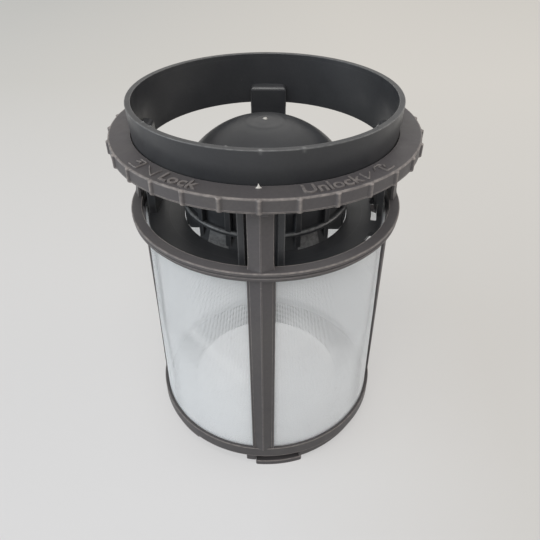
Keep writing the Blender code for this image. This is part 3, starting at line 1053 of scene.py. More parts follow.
    def stroke(self, marks: tuple[Span, ...]) -> Patch:
        """A raised stroke on the top plate.

        Args:
            marks: The (radius, azimuth) places that it joins.

        Returns:
            The patch.
        """
        table = np.asarray(marks, dtype=float)
        legs = np.hypot(np.diff(table[:, 0]), np.radians(np.diff(table[:, 1])) * self.sign_radius)
        run = np.concatenate([[0.0], np.cumsum(legs)])
        share = np.linspace(0.0, run[-1], max(6, int(run[-1] / self.sign_step)))
        radius = np.interp(share, run, table[:, 0])
        azimuth = np.interp(share, run, table[:, 1])
        path = cylinder_points(radius, azimuth, self.surface(radius))
        return ridge_along(path, self.sign_width, self.sign_rise)

    def letters(self, text: str) -> bpy.types.Mesh:
        """A word in the plain built-in type, with a little depth.

        Args:
            text: The word.

        Returns:
            Its mesh.
        """
        font = bpy.data.curves.new("word", "FONT")
        font.body = text
        font.extrude = self.stroke_depth
        font.bevel_depth = self.stroke_swell
        font.bevel_resolution = 1
        font.offset = self.stroke_swell
        holder = bpy.data.objects.new("word", font)
        bpy.context.scene.collection.objects.link(holder)
        bpy.context.view_layer.update()
        mesh = bpy.data.meshes.new_from_object(holder.evaluated_get(bpy.context.evaluated_depsgraph_get()))
        bpy.data.objects.remove(holder, do_unlink=True)
        return mesh

    def word(self, text: str, start: float, span: float) -> bpy.types.Mesh:
        """A raised word that follows the flange, its feet towards the rim.

        Args:
            text: The word.
            start: Azimuth of its first letter.
            span: Degrees that it covers.

        Returns:
            The word's mesh in metres.
        """
        mesh = self.letters(text)
        flat = np.empty(len(mesh.vertices) * 3)
        mesh.vertices.foreach_get("co", flat)
        flat = flat.reshape(-1, 3)
        low, high = flat.min(axis=0), flat.max(axis=0)
        across = (flat[:, 0] - low[0]) / (high[0] - low[0])
        up = flat[:, 1] / high[1]
        raised = flat[:, 2] > 0.0
        radius = self.word_foot - up * self.word_height
        height = self.surface(radius) + np.where(raised, self.sign_rise, -self.word_sink)
        placed = cylinder_points(radius, start + across * span, height) * MM
        mesh.vertices.foreach_set("co", placed.reshape(-1))
        store_wear_highlight_crease(mesh, np.where(raised, self.word_wear_and_highlight, 0.0))
        face_outwards(mesh)
        mesh.update()
        return mesh

    def nib(self) -> Patch:
        """The torn gate left on the plate in front of the collar, a leaning cone.

        Returns:
            The patch, closed at both ends.
        """
        rise, size = np.array(self.nib_rise), np.array(self.nib_size)
        turn = np.linspace(0.0, 2.0 * math.pi, self.nib_points, endpoint=False)
        wobble = 1.0 + self.nib_wobble * np.sin(3.0 * turn + 0.7)
        across = size[:, None] * np.cos(turn)[None, :] * wobble - self.nib_aside
        depth = size[:, None] * self.nib_flatness * np.sin(turn)[None, :]
        out = self.nib_radius + depth - self.nib_lean * rise[:, None]
        foot = self.surface(self.nib_radius) - self.nib_sink
        return upright(np.stack([across, out], axis=-1), foot + rise, np.full(self.nib_points, 0.8))

    def build(self, parts: PartsBin) -> None:
        """Make the flange, its words and its signs.

        Args:
            parts: Where pieces are made.
        """
        parts.piece("grip_flange", [self.flange()], FRAME_PLASTIC, *ON_FRAME)
        signs = [self.stroke(marks) for marks in self.pointers + self.arrows]
        parts.piece("turning_signs", signs, FRAME_PLASTIC, *ON_FRAME)
        for name, text, start, span in self.words:
            mesh = self.word(text, start, span)
            mesh.name = name
            mesh.materials.append(parts.material(FRAME_PLASTIC))
            parts.dress(bpy.data.objects.new(name, mesh), *ON_FRAME, self.word_sharp)
        parts.piece("gate_nib", [self.nib()], STRESSED_PLASTIC, *ON_FRAME)


@dataclass
class FramePosts:
    """The four ridged posts, above and below the middle ring.

    A pair of sizes gives the value where a post is slender and what it gains where it is broad.
    """

    bead_half: float = 0.17
    bead_foot: float = 0.34
    bead_rise: float = 0.16
    upper_half: Span = (3.58, 0.22)
    upper_inner: Span = (41.2, 0.0)
    upper_brink: Span = (42.05, 0.35)
    upper_crest: Span = (43.56, 0.55)
    upper_foot: tuple[float, ...] = (93.6, 94.4, 94.8, 95.1, 95.5, 96.0, 96.8, 98.0)
    upper_straight: float = 100.0
    upper_top: float = 118.2
    spread_top: float = 97.6
    spread_height: float = 3.0
    pad_half: float = 2.1
    pad_inner: float = 41.6
    pad_outer: float = 43.75
    pad_crest: float = 43.95
    pad_levels: tuple[float, ...] = (112.3, 112.45, 112.7, 113.4)
    pad_rounding: tuple[float, ...] = (0.3, 0.12, 0.0, 0.0, 0.0)
    lower_inner: Span = (40.52, 1.75)
    lower_half: Span = (4.12, -0.26)
    lower_bar: Span = (3.4, -0.3)
    lower_crest: Span = (42.75, 1.1)
    lower_foot: tuple[float, ...] = (11.35, 11.45, 11.7)
    lower_straight: Span = (12.6, 90.6)
    lower_top: float = 91.6
    lower_run: float = 79.4
    foot_rounding: float = 0.18
    lip: float = 0.72
    lip_foot: float = 0.06
    roof_drop: float = 1.08

    def bead(self, crest: float, wear_highlight_crease: float) -> list[Corner]:
        """The left half of the moulding bead along a ridge."""
        # The bead's crest is painted pale: a painted highlight along the parting line.
        return [(-self.bead_foot, crest - self.bead_rise, 0.1, 0.0), (-self.bead_half, crest, 0.05, wear_highlight_crease)]

    def upper(self) -> Patch:
        """An upper post, which spreads over its last three millimetres onto the middle ring.

        Returns:
            The patch.
        """
        heights = np.concatenate([self.upper_foot, np.linspace(self.upper_straight, self.upper_top, 6)])
        rows = []
        for share in np.clip((self.spread_top - heights) / self.spread_height, 0.0, 1.0) ** 2:
            sizes = (self.upper_half, self.upper_inner, self.upper_brink, self.upper_crest)
            half, inner, brink, crest = (size + gain * share for size, gain in sizes)
            # Painted highlight on the side edges and on the bead.
            left = [(-half, inner, 0.08, 0.0), (-half, brink, 0.16, 0.6), *self.bead(crest, 1.5)]
            rows.append(soft_outline(mirrored(left), steps=3))
        return upright(np.stack([row.points for row in rows]), heights, rows[0].wear_highlight_crease)

    def pad(self) -> Patch:
        """The pad where a post meets the flange.

        Returns:
            The patch.
        """
        left = [(-self.pad_half, self.pad_inner, 0.1, 0.0), (-self.pad_half, self.pad_outer, 0.2, 0.1)]
        outline = soft_outline(mirrored(left, (0.0, self.pad_crest, 0.1, 0.3)))
        inward = np.stack([np.zeros(len(self.pad_rounding)), self.pad_rounding], axis=-1)
        heights = np.array([*self.pad_levels, self.upper_top])
        return upright(outline.points[None] - inward[:, None, :], heights, outline.wear_highlight_crease)

    def lower(self) -> Patch:
        """A lower post: thin lips beside a roofed bar that stands out towards its foot.

        Returns:
            The patch.
        """
        heights = np.concatenate([self.lower_foot, np.linspace(*self.lower_straight, 14), [self.lower_top]])
        rows = []
        for height in heights:
            share = min(max((LEVELS.mid_base - height) / self.lower_run, 0.0), 1.0)
            sizes = (self.lower_inner, self.lower_half, self.lower_bar, self.lower_crest)
            inner, half, bar, crest = (size + gain * share for size, gain in sizes)
            crest -= self.foot_rounding if height == self.lower_foot[0] else 0.0
            # Painted highlight on the lips, the bar's edges and the bead.
            left = [
                (-half, inner, 0.08, 0.0),
                (-half, inner + self.lip, 0.14, 0.5),
                (-bar - self.lip_foot, inner + self.lip + self.lip_foot, 0.08, 0.0),
                (-bar, crest - self.roof_drop, 0.12, 0.6),
                *self.bead(crest, 1.4),
            ]
            rows.append(soft_outline(mirrored(left), steps=3))
        return upright(np.stack([row.points for row in rows]), heights, rows[0].wear_highlight_crease)

    def build(self, parts: PartsBin) -> None:
        """Make the posts of all four sides.

        Args:
            parts: Where pieces are made.
        """
        posts = {"upper_posts": self.upper(), "post_pads": self.pad(), "lower_posts": self.lower()}
        for name, post in posts.items():
            parts.piece(name, on_four_sides(post), FRAME_PLASTIC, *ON_FRAME)


@dataclass
class FrameRings:
    """The middle ring, and the bottom rim with its floor, skirt and bayonet feet."""

    columns: int = 288
    mid_bore: float = 41.0
    mid_rim: float = 44.4
    mid_groove: float = 0.6
    mid_lip: float = 0.25
    rim: float = 43.4
    rim_inner: float = 42.25
    floor_hole: float = 30.0
    floor_base: float = 6.2
    skirt_outer: float = 40.0
    skirt_inner: float = 37.8
    skirt_foot: float = 2.0
    foot_radii: Span = (37.6, 42.4)
    foot_height: float = 2.5
    foot_span: Span = (-4.0, 20.0)
    heel_radii: Span = (38.4, 40.4)
    heel_foot: float = 1.2
    heel_span: Span = (-4.6, 20.6)
    block_radii: Span = (38.6, 42.4)
    block_span: Span = (-8.7, -3.9)
    strip_radii: Span = (38.8, 42.45)
    strip_span: Span = (18.5, 53.0)
    strip_ramp: float = 1.5
    lock_foot: float = 3.0
    lock_top: float = 7.4
    seat_across: Span = (0.6, 3.6)
    seat_radii: Span = (35.7, 41.3)
    seat_levels: tuple[float, ...] = (86.6, 87.74, 88.2, 88.42, 88.5)
    seat_inset: tuple[float, ...] = (2.8, 0.0, 0.0, 0.08, 0.25)
    seat_nose: float = 2.5
    seat_root: float = 38.5

    def middle(self) -> Patch:
        """The middle ring with two lips on its outside.

        Returns:
            The patch, a closed surface.
        """
        top, base, bore, out = LEVELS.mid_top, LEVELS.mid_base, self.mid_bore, self.mid_rim
        groove, lip = out - self.mid_groove, out - self.mid_lip
        # Painted highlight lines along the inner top edge and the outer lips.
        return ring(soft_outline([
            (bore, top, 0.14, 1.3),
            (out, top - 0.1, 0.35, 0.75),
            (out, top - 1.05, 0.25, 0.4),
            (groove, top - 1.35, 0.12, 0.0),
            (groove, top - 1.8, 0.12, 0.0),
            (lip, top - 2.05, 0.15, 0.5),
            (lip, top - 2.65, 0.15, 0.3),
            (out - 0.95, top - 3.05, 0.15, 0.0),
            (out - 1.05, base, 0.15, 0.1),
            (bore, base, 0.15, 0.0),
        ]), self.columns)

    def bottom(self) -> Patch:
        """The bottom rim, the floor plate inside it and the skirt below.

        Returns:
            The patch, a closed surface.
        """
        # Painted highlight along the top and lower outer edges of the rim.
        return ring(soft_outline([
            (self.floor_hole, LEVELS.floor_top, 0.3, 0.2),
            (self.rim_inner, LEVELS.floor_top, 0.2, 0.0),
            (self.rim_inner, LEVELS.rim_top, 0.15, 0.2),
            (self.rim, LEVELS.rim_top, 0.25, 0.55),
            (self.rim, LEVELS.rim_base, 0.28, 0.9),
            (self.skirt_outer + 0.2, LEVELS.rim_base - 0.3, 0.3, 0.0),
            (self.skirt_outer, LEVELS.rim_base - 0.5, 0.2, 0.0),
            (self.skirt_outer, self.skirt_foot, 0.3, 0.2),
            (self.skirt_inner, self.skirt_foot, 0.3, 0.2),
            (self.skirt_inner, self.floor_base, 0.3, 0.0),
            (self.floor_hole, self.floor_base, 0.3, 0.2),
        ]), self.columns)

    def foot_part(self, radii: Span, levels: Span, fillets: Corner, wears_and_highlights: Corner) -> Outline:
        """Section of a part of a foot between two radii and two levels."""
        return rectangle((radii[0], levels[0]), (radii[1], levels[1]), fillets, wears_and_highlights)

    def feet(self) -> list[Patch]:
        """One side's bayonet foot, the wall behind it, its stop block and its ramp strip.

        Returns:
            The four patches.
        """
        lock = (self.lock_foot, self.lock_top)
        sole = (0.0, self.foot_height)
        foot = self.foot_part(self.foot_radii, sole, (0.3, 0.3, 0.3, 0.5), (0.2, 0.2, 0.6, 0.4))
        heel = self.foot_part(self.heel_radii, (self.heel_foot, self.lock_top), same(0.2), same(0.0))
        block = self.foot_part(self.block_radii, lock, (0.2, 0.2, 0.2, 0.25), (0.2, 0.0, 0.0, 0.4))
        strip = self.foot_part(self.strip_radii, lock, (0.2, 0.2, 0.2, 0.3), (0.0, 0.0, 0.0, 0.4))
        return [
            sector(foot, self.foot_span, 20, 0.5),
            sector(heel, self.heel_span, 12),
            sector(block, self.block_span, 8, 0.3),
            self.ramped(sector(strip, self.strip_span, 24, 0.3)),
        ]

    def ramped(self, patch: Patch) -> Patch:
        """The strip with its underside lifted in step with the azimuth, by up to the ramp's rise.

        Args:
            patch: The level strip, changed in place.

        Returns:
            The patch.
        """
        start, end = self.strip_span
        share = np.clip((patch.azimuths() - start) / (end - start), 0.0, 1.0)
        reach = np.clip((self.lock_top - patch.points[:, 2]) / (self.lock_top - self.lock_foot), 0.0, 1.0)
        patch.points[:, 2] += self.strip_ramp * share * reach
        return patch

    def seat(self) -> Patch:
        """One of the shelves under the insert, with a sloping underside.

        Returns:
            The patch.
        """
        low, high = zip(self.seat_across, self.seat_radii)
        outline = rectangle(low, high, (0.2, 0.1, 0.1, 0.2), (0.3, 0.0, 0.0, 0.3))
        inset = np.array(self.seat_inset)
        sections = np.repeat(outline.points[None], len(inset), axis=0)
        nose = np.clip((self.seat_root - outline.points[:, 1]) / self.seat_nose, 0.0, 1.0)
        sections[:, :, 1] += inset[:, None] * nose[None, :]
        return upright(sections, np.array(self.seat_levels), outline.wear_highlight_crease)

    def build(self, parts: PartsBin) -> None:
        """Make the rings, the feet and the seats.

        Args:
            parts: Where pieces are made.
        """
        parts.piece("middle_ring", [self.middle()], FRAME_PLASTIC, *ON_FRAME)
        parts.piece("bottom_rim", [self.bottom()], FRAME_PLASTIC, *ON_FRAME)
        parts.piece("bayonet_feet", on_four_sides(*self.feet()), FRAME_PLASTIC, *ON_FRAME)
        parts.piece("insert_seats", on_four_sides(self.seat()), FRAME_PLASTIC, *ON_FRAME)


# The mesh sleeve.


@dataclass
class MeshSleeve:
    """The cloth sleeve, held straight behind the posts and swelling a little between them.

    Held and free are its radii at each of its heights, behind a post and half way between two
    posts. A crease is a run of (azimuth, height) places.
    """

    thickness: float = 0.16
    foot: float = LEVELS.sleeve_foot
    top: float = 91.3
    unrolled: float = 41.2
    columns: int = 288
    rows: int = 68
    heights: tuple[float, ...] = (8.1, 12.0, 24.0, 36.0, 51.0, 64.0, 77.0, 92.0)
    held: tuple[float, ...] = (42.0, 42.0, 41.72, 41.44, 41.1, 40.8, 40.5, 40.2)
    free: tuple[float, ...] = (42.0, 42.0, 41.65, 41.55, 41.45, 40.95, 40.5, 40.2)
    held_share: float = 0.05
    passing_share: float = 0.6
    ripple: float = 0.035
    ripples: float = 7.0
    ripple_height: float = 9.0
    creases: tuple[tuple[Span, ...], ...] = (
        ((-34.1, 62.2), (-26.7, 59.1), (-19.5, 54.9), (-14.0, 50.9), (-9.0, 46.4)),
        ((8.8, 71.0), (13.9, 72.2), (18.9, 68.7), (25.0, 63.3), (34.1, 52.0)),
    )
    crease_points: int = 60
    crease_width: float = 2.4
    crease_level: float = 0.32
    side_crease: float = 78.0
    side_width: float = 9.0
    side_level: float = 2.0
    notch_across: Span = (0.3, 3.9)
    notch_radii: Span = (38.2, 43.0)
    notch_levels: Span = (86.3, 93.0)

    def radius(self, azimuth: np.ndarray, height: np.ndarray) -> np.ndarray:
        """The held radius at the posts, passing to the free one as the squared sine of twice the azimuth.

        Args:
            azimuth: Azimuths in degrees.
            height: Heights.

        Returns:
            The radius of each place.
        """
        between = np.sin(np.radians(2.0 * azimuth)) ** 2
        between = np.clip((between - self.held_share) / self.passing_share, 0.0, 1.0)
        waves = np.sin(np.radians(azimuth * self.ripples))
        ripple = self.ripple * waves * np.sin(height / self.ripple_height)
        held = np.interp(height, self.heights, self.held)
        free = np.interp(height, self.heights, self.free)
        return held + (free - held + ripple) * between

    def creased(self, azimuth: np.ndarray, height: np.ndarray) -> np.ndarray:
        """How strongly each point lies on a crease: a bell of its distance to the nearest crease's points.

        Args:
            azimuth: Azimuths in degrees.
            height: Heights.

        Returns:
            Zero to one for each place.
        """
        signed = (azimuth + 180.0) % 360.0 - 180.0
        total = self.side_level * np.exp(-(((np.abs(signed) - self.side_crease) / self.side_width) ** 2))
        for crease in self.creases:
            table = np.asarray(crease)
            run = np.linspace(0.0, len(table) - 1.0, self.crease_points)
            along = np.interp(run, np.arange(len(table)), table[:, 0])
            up = np.interp(run, np.arange(len(table)), table[:, 1])
            aside = np.radians(signed[..., None] - along) * self.unrolled
            gap = np.hypot(aside, height[..., None] - up).min(axis=-1)
            total += np.exp(-((gap / self.crease_width) ** 2))
        return np.clip(self.crease_level * total, 0.0, 1.0)

    def wall(self) -> Patch:
        """The sleeve as one closed double wall.

        Returns:
            The patch.
        """
        azimuths = np.linspace(0.0, 360.0, self.columns, endpoint=False)
        rising = np.linspace(self.foot, self.top, self.rows)
        inward = np.concatenate([np.zeros(self.rows), np.ones(self.rows)])
        turn, level = np.meshgrid(azimuths, np.concatenate([rising, rising[::-1]]), indexing="ij")
        radius = self.radius(turn, level) - self.thickness * inward[None, :]
        return grid_patch(cylinder_points(radius, turn, level), self.creased(turn, level))

    def notch(self) -> Patch:
        """What is cut out where one of the insert's seats passes through."""
        low, high = zip(self.notch_across, self.notch_radii)
        return straight_bar(rectangle(low, high), *self.notch_levels)

    def unroll(self, mesh: bpy.types.Mesh) -> None:
        """Store the arc length and the height as UV, a millimetre a unit, split at one seam.

        Args:
            mesh: The sleeve's mesh, changed in place.
        """
        places = np.empty(len(mesh.vertices) * 3)
        mesh.vertices.foreach_get("co", places)
        places = places.reshape(-1, 3) / MM
        corners = np.empty(len(mesh.loops), dtype=np.int32)
        mesh.loops.foreach_get("vertex_index", corners)
        arc = np.degrees(np.arctan2(places[:, 0], -places[:, 1]))[corners]
        totals = np.empty(len(mesh.polygons), dtype=np.int32)
        mesh.polygons.foreach_get("loop_total", totals)
        owner = np.repeat(np.arange(len(mesh.polygons)), totals)
        widest = np.full(len(mesh.polygons), -999.0)
        np.maximum.at(widest, owner, arc)
        arc = np.where(widest[owner] - arc > 180.0, arc + 360.0, arc)
        flat = np.stack([np.radians(arc) * self.unrolled, places[corners, 2]], axis=-1)
        layer = mesh.uv_layers.new(name="weave")
        layer.data.foreach_set("uv", flat.reshape(-1).astype(np.float32))

    def build(self, parts: PartsBin) -> None:
        """Make the sleeve, cut its notches and unroll it.

        Args:
            parts: Where pieces are made.
        """
        piece = parts.piece("mesh_cloth", [self.wall()], MESH_CLOTH, Body.FRAME, Slot.MESH, "mesh_sleeve")
        parts.cut(piece, on_four_sides(self.notch()))
        self.unroll(piece.data)


# The insert.


@dataclass
class Collar:
    """The tapered collar, with the nicks and burrs along its rim.

    A nick is an azimuth, a radius and the height of its burr.
    """

    top: float = LEVELS.collar_top
    foot: float = 111.8
    top_radius: float = 41.0
    bore_radius: float = 40.5
    bore_level: float = 119.7
    foot_radius: float = 40.05
    wall: float = 1.7
    edge: float = 1.5
    columns: int = 720
    nicks: tuple[Triple, ...] = (
        (-11.9, 39.6, 0.22),
        (0.2, 40.7, 0.3),
        (15.0, 40.7, 0.22),
        (49.0, 39.3, 0.5),
        (-46.4, 39.4, 0.28),
        (-52.0, 39.4, 0.2),
    )
    nick_along: float = 0.38
    nick_across: float = 0.45
    nick_depth: float = 0.9
    nick_wear: float = 1.4

    def section(self) -> Outline:
        """Section of the wall, painted pale on its rim alone: painted highlight lines along both edges of the
        rim, with its plain colour between.

        Returns:
            The (radius, height) outline.
        """
        inner = self.top_radius - self.wall
        return soft_outline([
            (self.top_radius, self.top, 0.3, 0.6),
            (self.top_radius - 0.08, self.top - self.edge, 0.02, 0.0),
            (self.bore_radius, self.bore_level, 0.1, 0.0),
            (self.foot_radius, self.foot, 0.25, 0.1),
            (self.foot_radius - self.wall + 0.2, self.foot, 0.25, 0.14),
            (inner - 0.06, self.top - self.edge, 0.02, 0.12),
            (inner, self.top, 0.25, 0.45),
            (inner + 0.45, self.top, 0.05, 0.0),
            (self.top_radius - 0.55, self.top, 0.05, 0.0),
        ], steps=6)

    def turned_wall(self) -> Patch:
        """The section turned round the axis, with a small bell-shaped burr at each nick.

        Returns:
            The patch, a closed surface.
        """
        outline = self.section()
        azimuths = np.linspace(0.0, 360.0, self.columns, endpoint=False)
        radius = outline.points[:, 0][None, :]
        height = np.repeat(outline.points[:, 1][None, :], self.columns, axis=0)
        wear_highlight_crease = np.repeat(outline.wear_highlight_crease[None, :], self.columns, axis=0)
        upper = np.clip((height - (self.top - self.nick_depth)) / self.nick_depth, 0.0, 1.0)
        for azimuth, place, rise in self.nicks:
            along = np.radians((azimuths - azimuth + 180.0) % 360.0 - 180.0)[:, None] * self.bore_radius
            across = (radius - place) / self.nick_across
            bell = np.exp(-((along / self.nick_along) ** 2) - across**2) * upper
            height += rise * bell
            wear_highlight_crease += self.nick_wear * bell
        return grid_patch(cylinder_points(radius, azimuths[:, None], height), np.clip(wear_highlight_crease, 0.0, 1.6))


@dataclass
class CarrierLegs:
    """The four channel legs from the collar down to the strainer plate, with solid heads."""

    half: float = 6.5
    inner: float = 36.0
    outer: float = 38.6
    web: float = 36.8
    side: float = 2.0
    foot: float = 89.2
    top: float = 112.0
    head_outer: float = 39.2
    head_base: float = 110.9
    head_waist: float = 113.0
    head_shoulder: float = 116.95
    head_round: float = 1.6
    head_inset: float = 1.5
    head_slope: float = 0.4
    head_fade: float = 2.5
    head_rise: float = 4.0
    proud: float = 0.06
    slit_radii: Span = (35.7, 37.5)
    slit_levels: Span = (87.5, 94.5)
    slit_span: Span = (-14.7, 5.0)
    slit_leg: float = 90.0

    def channel(self) -> Patch:
        """A leg, open towards the outside.

        Returns:
            The patch.
        """
        hollow = self.half - self.side
        outline = soft_outline(mirrored([
            (-self.half, self.inner, 0.3, 0.35),
            (-self.half, self.outer, 0.25, 0.35),
            (-hollow, self.outer, 0.25, 0.35),
            (-hollow, self.web, 0.4, 0.0),
        ]))
        return straight_bar(outline, self.foot, self.top)

    def head(self) -> Patch:
        """A leg's head, rounded over at the top and falling a little towards the axis.

        Returns:
            The patch.
        """
        low = (-self.half - self.proud, self.inner - self.proud)
        high = (self.half + self.proud, self.head_outer)
        outline = rectangle(low, high, (0.6, 0.2, 0.2, 0.6), steps=6)
        turn = np.linspace(0.0, math.pi / 2.0, 12)
        rounded = self.head_shoulder + self.head_round * np.sin(turn)
        heights = np.concatenate([[self.head_base, self.head_waist], rounded])[:, None]
        inset = np.concatenate([[0.0, 0.0], self.head_inset * (1.0 - np.cos(turn))])[:, None]
        across = outline.points[:, 0][None] * (1.0 - inset / self.half)
        inward = np.clip((self.head_outer - outline.points[:, 1]) / self.head_fade, 0.0, 1.0)[None, :]
        out = outline.points[:, 1][None] + inset * inward
        slope = self.head_slope * inward * np.clip((heights - self.head_waist) / self.head_rise, 0.0, 1.0)
        return upright(np.stack([across, out], axis=-1), heights - slope, outline.wear_highlight_crease)

    def slit(self) -> Patch:
        """What is cut out beside the leg on the right, an arc through the leg's wall and the plate."""
        low, high = zip(self.slit_radii, self.slit_levels)
        return sector(rectangle(low, high), self.slit_span, 20, 0.1).turned(self.slit_leg)


@dataclass
class StrainerCage:
    """The strainer plate, the barred cage over its hole and the dome that closes the cage."""

    hole: float = 27.5
    hole_top: float = 89.5
    plate_top: float = 90.3
    plate_base: float = 88.8
    plate_radius: float = 39.5
    funnel_radii: Span = (29.0, 32.5)
    funnel_drop: Span = (0.15, 0.35)
    notch_across: float = 2.5
    notch_radii: Span = (37.2, 41.0)
    notch_levels: Span = (87.5, 92.0)
    notch_sides: Span = (60.0, 240.0)
    bars: int = 16
    bar_half: float = 1.0
    bar_levels: Span = (89.0, 103.4)
    cage_radius: float = 27.5
    cage_inner: float = 24.9
    hoop_levels: Span = (94.2, 95.75)
    brim_radii: Span = (25.0, 28.1)
    brim_foot: float = 102.7
    brim_top: float = 104.4
    screen: float = 0.8
    screen_end: float = 0.1
    wall_levels: Span = (94.6, 103.2)
    lean_top: float = 94.9
    lean_foot: float = 88.9
    closed: tuple[Span, ...] = ((-84.0, 84.0), (96.0, 264.0))
    # Where the leaning wall is painted lighter, as painted light.
    painted_light_span: Span = (22.5, 38.5)
    dark_span: Span = (38.5, 46.5)
    apron_span: Span = (45.0, 84.0)
    apron_radius: float = 26.5
    apron_top: float = 95.0
    apron_rise: float = 92.9
    apron_fall: float = 0.25
    apron_start: float = 46.0
    apron_highest: float = 93.2
    dome_sphere: float = 30.7
    dome_centre: float = 89.76
    dome_foot: float = 103.3
    dome_wall: float = 1.4
    pole_tilt: float = 0.004
    ring_rise: float = 0.03
    ring_rate: float = 2.1
    ring_reach: float = 6.0
    button_rise: float = 0.09
    button_radius: float = 6.2
    button_edge: float = 0.12
    gate_size: tuple[float, ...] = (0.75, 0.72, 0.6, 0.35, 0.08)
    gate_rise: tuple[float, ...] = (0.0, 0.2, 0.36, 0.44, 0.46)
    gate_sink: float = 0.05
    gate_points: int = 20
    gate_wear: float = 0.5

    def plate(self) -> Patch:
        """The plate, which falls towards its hole.

        Returns:
            The patch, a closed surface.
        """
        return ring(soft_outline([
            (self.hole, self.hole_top, 0.25, 0.4),
            (self.funnel_radii[0], self.hole_top + self.funnel_drop[0], 0.1, 0.16),
            (self.funnel_radii[1], self.plate_top - self.funnel_drop[1], 0.1, 0.16),
            (self.plate_radius, self.plate_top, 0.25, 0.35),
            (self.plate_radius, self.plate_base, 0.25, 0.1),
            (self.hole, self.plate_base, 0.2, 0.1),
        ]))

    def notches(self) -> list[Patch]:
        """What is cut out of the plate's edge at two places.

        Returns:
            The closed patches.
        """
        low, high = zip((-self.notch_across, self.notch_across), self.notch_radii)
        notch = straight_bar(rectangle(low, high), *self.notch_levels)
        return [notch.turned(turn) for turn in self.notch_sides]

    def upright_bars(self) -> list[Patch]:
        """The bars round the cage, with rounded edges.

        Returns:
            The patches.
        """
        low, high = (-self.bar_half, self.cage_inner), (self.bar_half, self.cage_radius)
        bar = straight_bar(rectangle(low, high, same(0.25), same(0.3), steps=3), *self.bar_levels)
        return [bar.turned(360.0 * index / self.bars) for index in range(self.bars)]

    def hoop(self) -> Patch:
        """The hoop half way up the cage, rounded over on top."""
        low, high = zip((self.cage_inner + 0.4, self.cage_radius + 0.2), self.hoop_levels)
        # Painted highlight along the rounded top outer edge.
        return ring(rectangle(low, high, (0.2, 0.3, 0.75, 0.3), (0.1, 0.2, 0.9, 0.2), steps=6))

    def brim(self) -> Patch:
        """The thick edge at the foot of the dome.

        Returns:
            The patch, a closed surface.
        """
        inner, outer = self.brim_radii
        return ring(soft_outline([
            (inner, self.brim_foot, 0.3, 0.1),
            (inner, self.brim_top, 0.3, 0.0),
            (outer, self.brim_top - 0.4, 0.4, 0.4),
            (outer, self.brim_foot, 0.3, 0.3),
        ]))

    def leaning(self) -> Outline:
        """Section of the wall that leans from under the hoop out to the plate's hole.

        Returns:
            The (radius, height) outline.
        """
        inner = self.cage_inner + 0.2
        places = (
            (inner, self.lean_top),
            (inner + self.screen, self.lean_top),
            (self.hole + 0.2, self.lean_foot + self.screen),
            (self.hole + 0.2, self.lean_foot),
            (self.hole + 0.2 - self.screen, self.lean_foot),
        )
        return soft_outline([(*place, 0.15, 0.0) for place in places])

    def screens(self) -> list[Patch]:
        """The closed walls behind the bars of the front and the back.

        Above the hoop a plain wall; below it a wall that leans out to the plate's hole, with painted light
        between the first and the second bar; and an apron whose foot falls away sideways.

        Returns:
            The patches.
        """
        inner = self.cage_inner + 0.2
        low, high = zip((inner, inner + self.screen), self.wall_levels)
        wall = rectangle(low, high, same(0.15))
        lean = self.leaning()
        # Painted light: this part of the leaning wall is painted in the paler colour all over, as if lit.
        pale = Outline(lean.points, np.ones(len(lean.points)))
        outer = self.apron_radius + self.screen
        apron = rectangle((self.apron_radius, self.lean_foot), (outer, self.apron_top))
        found = []
        for start, end in self.closed:
            middle = (start + end) / 2.0
            centred = (middle - self.painted_light_span[0], middle + self.painted_light_span[0])
            found.append(sector(wall, (start, end), 60, self.screen_end))
            found.append(sector(lean, centred, 24, self.screen_end))
            for side in (-1.0, 1.0):
                for outline, span, columns in ((pale, self.painted_light_span, 12), (lean, self.dark_span, 6)):
                    found.append(sector(outline, self.beside(middle, side, span), columns, self.screen_end))
                sheet = sector(apron, self.beside(middle, side, self.apron_span), 32, self.screen_end)
                found.append(self.slanted(sheet, middle))
        return found

    def beside(self, middle: float, side: float, span: Span) -> Span:
        """A span of azimuths on one side of a middle azimuth, the lower first."""
        near, far = sorted((middle + side * span[0], middle + side * span[1]))
        return (near, far)

    def slanted(self, patch: Patch, middle: float) -> Patch:
        """An apron with its foot lifted: height = rise - fall for each degree past its start.

        Args:
            patch: The level apron, changed in place.
            middle: The azimuth that the fall is measured from.

        Returns:
            The patch.
        """
        aside = np.abs((patch.azimuths() - middle + 180.0) % 360.0 - 180.0)
        foot = self.apron_rise - self.apron_fall * (aside - self.apron_start)
        lift = np.clip(foot, self.lean_foot, self.apron_highest) - self.lean_foot
        full = self.apron_top - self.lean_foot
        share = np.clip((self.apron_top - patch.points[:, 2]) / full, 0.0, 1.0)
        patch.points[:, 2] += lift * share
        return patch

    def dome(self) -> Patch:
        """The dome as one closed shell.

        Its outside is the sphere r = R sin(tilt), z = centre + R cos(tilt), with faint turned
        rings of height rise * cos(rate * r) and a low round button about the pole, and its
        inside is the sphere that is smaller by the wall.

        Returns:
            The patch.
        """
        lowest = math.acos((self.dome_foot - self.dome_centre) / self.dome_sphere)
        tilt = np.linspace(lowest, self.pole_tilt, 90)
        radius = self.dome_sphere * np.sin(tilt)
        rings = self.ring_rise * np.cos(radius * self.ring_rate) * np.exp(-((radius / self.ring_reach) ** 2))
        step = self.button_rise / (1.0 + np.exp((radius - self.button_radius) / self.button_edge))
        height = self.dome_centre + self.dome_sphere * np.cos(tilt) + rings + step
        inner = self.dome_sphere - self.dome_wall
        tilt_inner = np.linspace(self.pole_tilt, lowest, 40)
        profile_r = np.concatenate([radius, inner * np.sin(tilt_inner)])
        profile_z = np.concatenate([height, self.dome_centre + inner * np.cos(tilt_inner)])
        return ring(Outline(np.stack([profile_r, profile_z], axis=-1), np.zeros(len(profile_r))), 180)

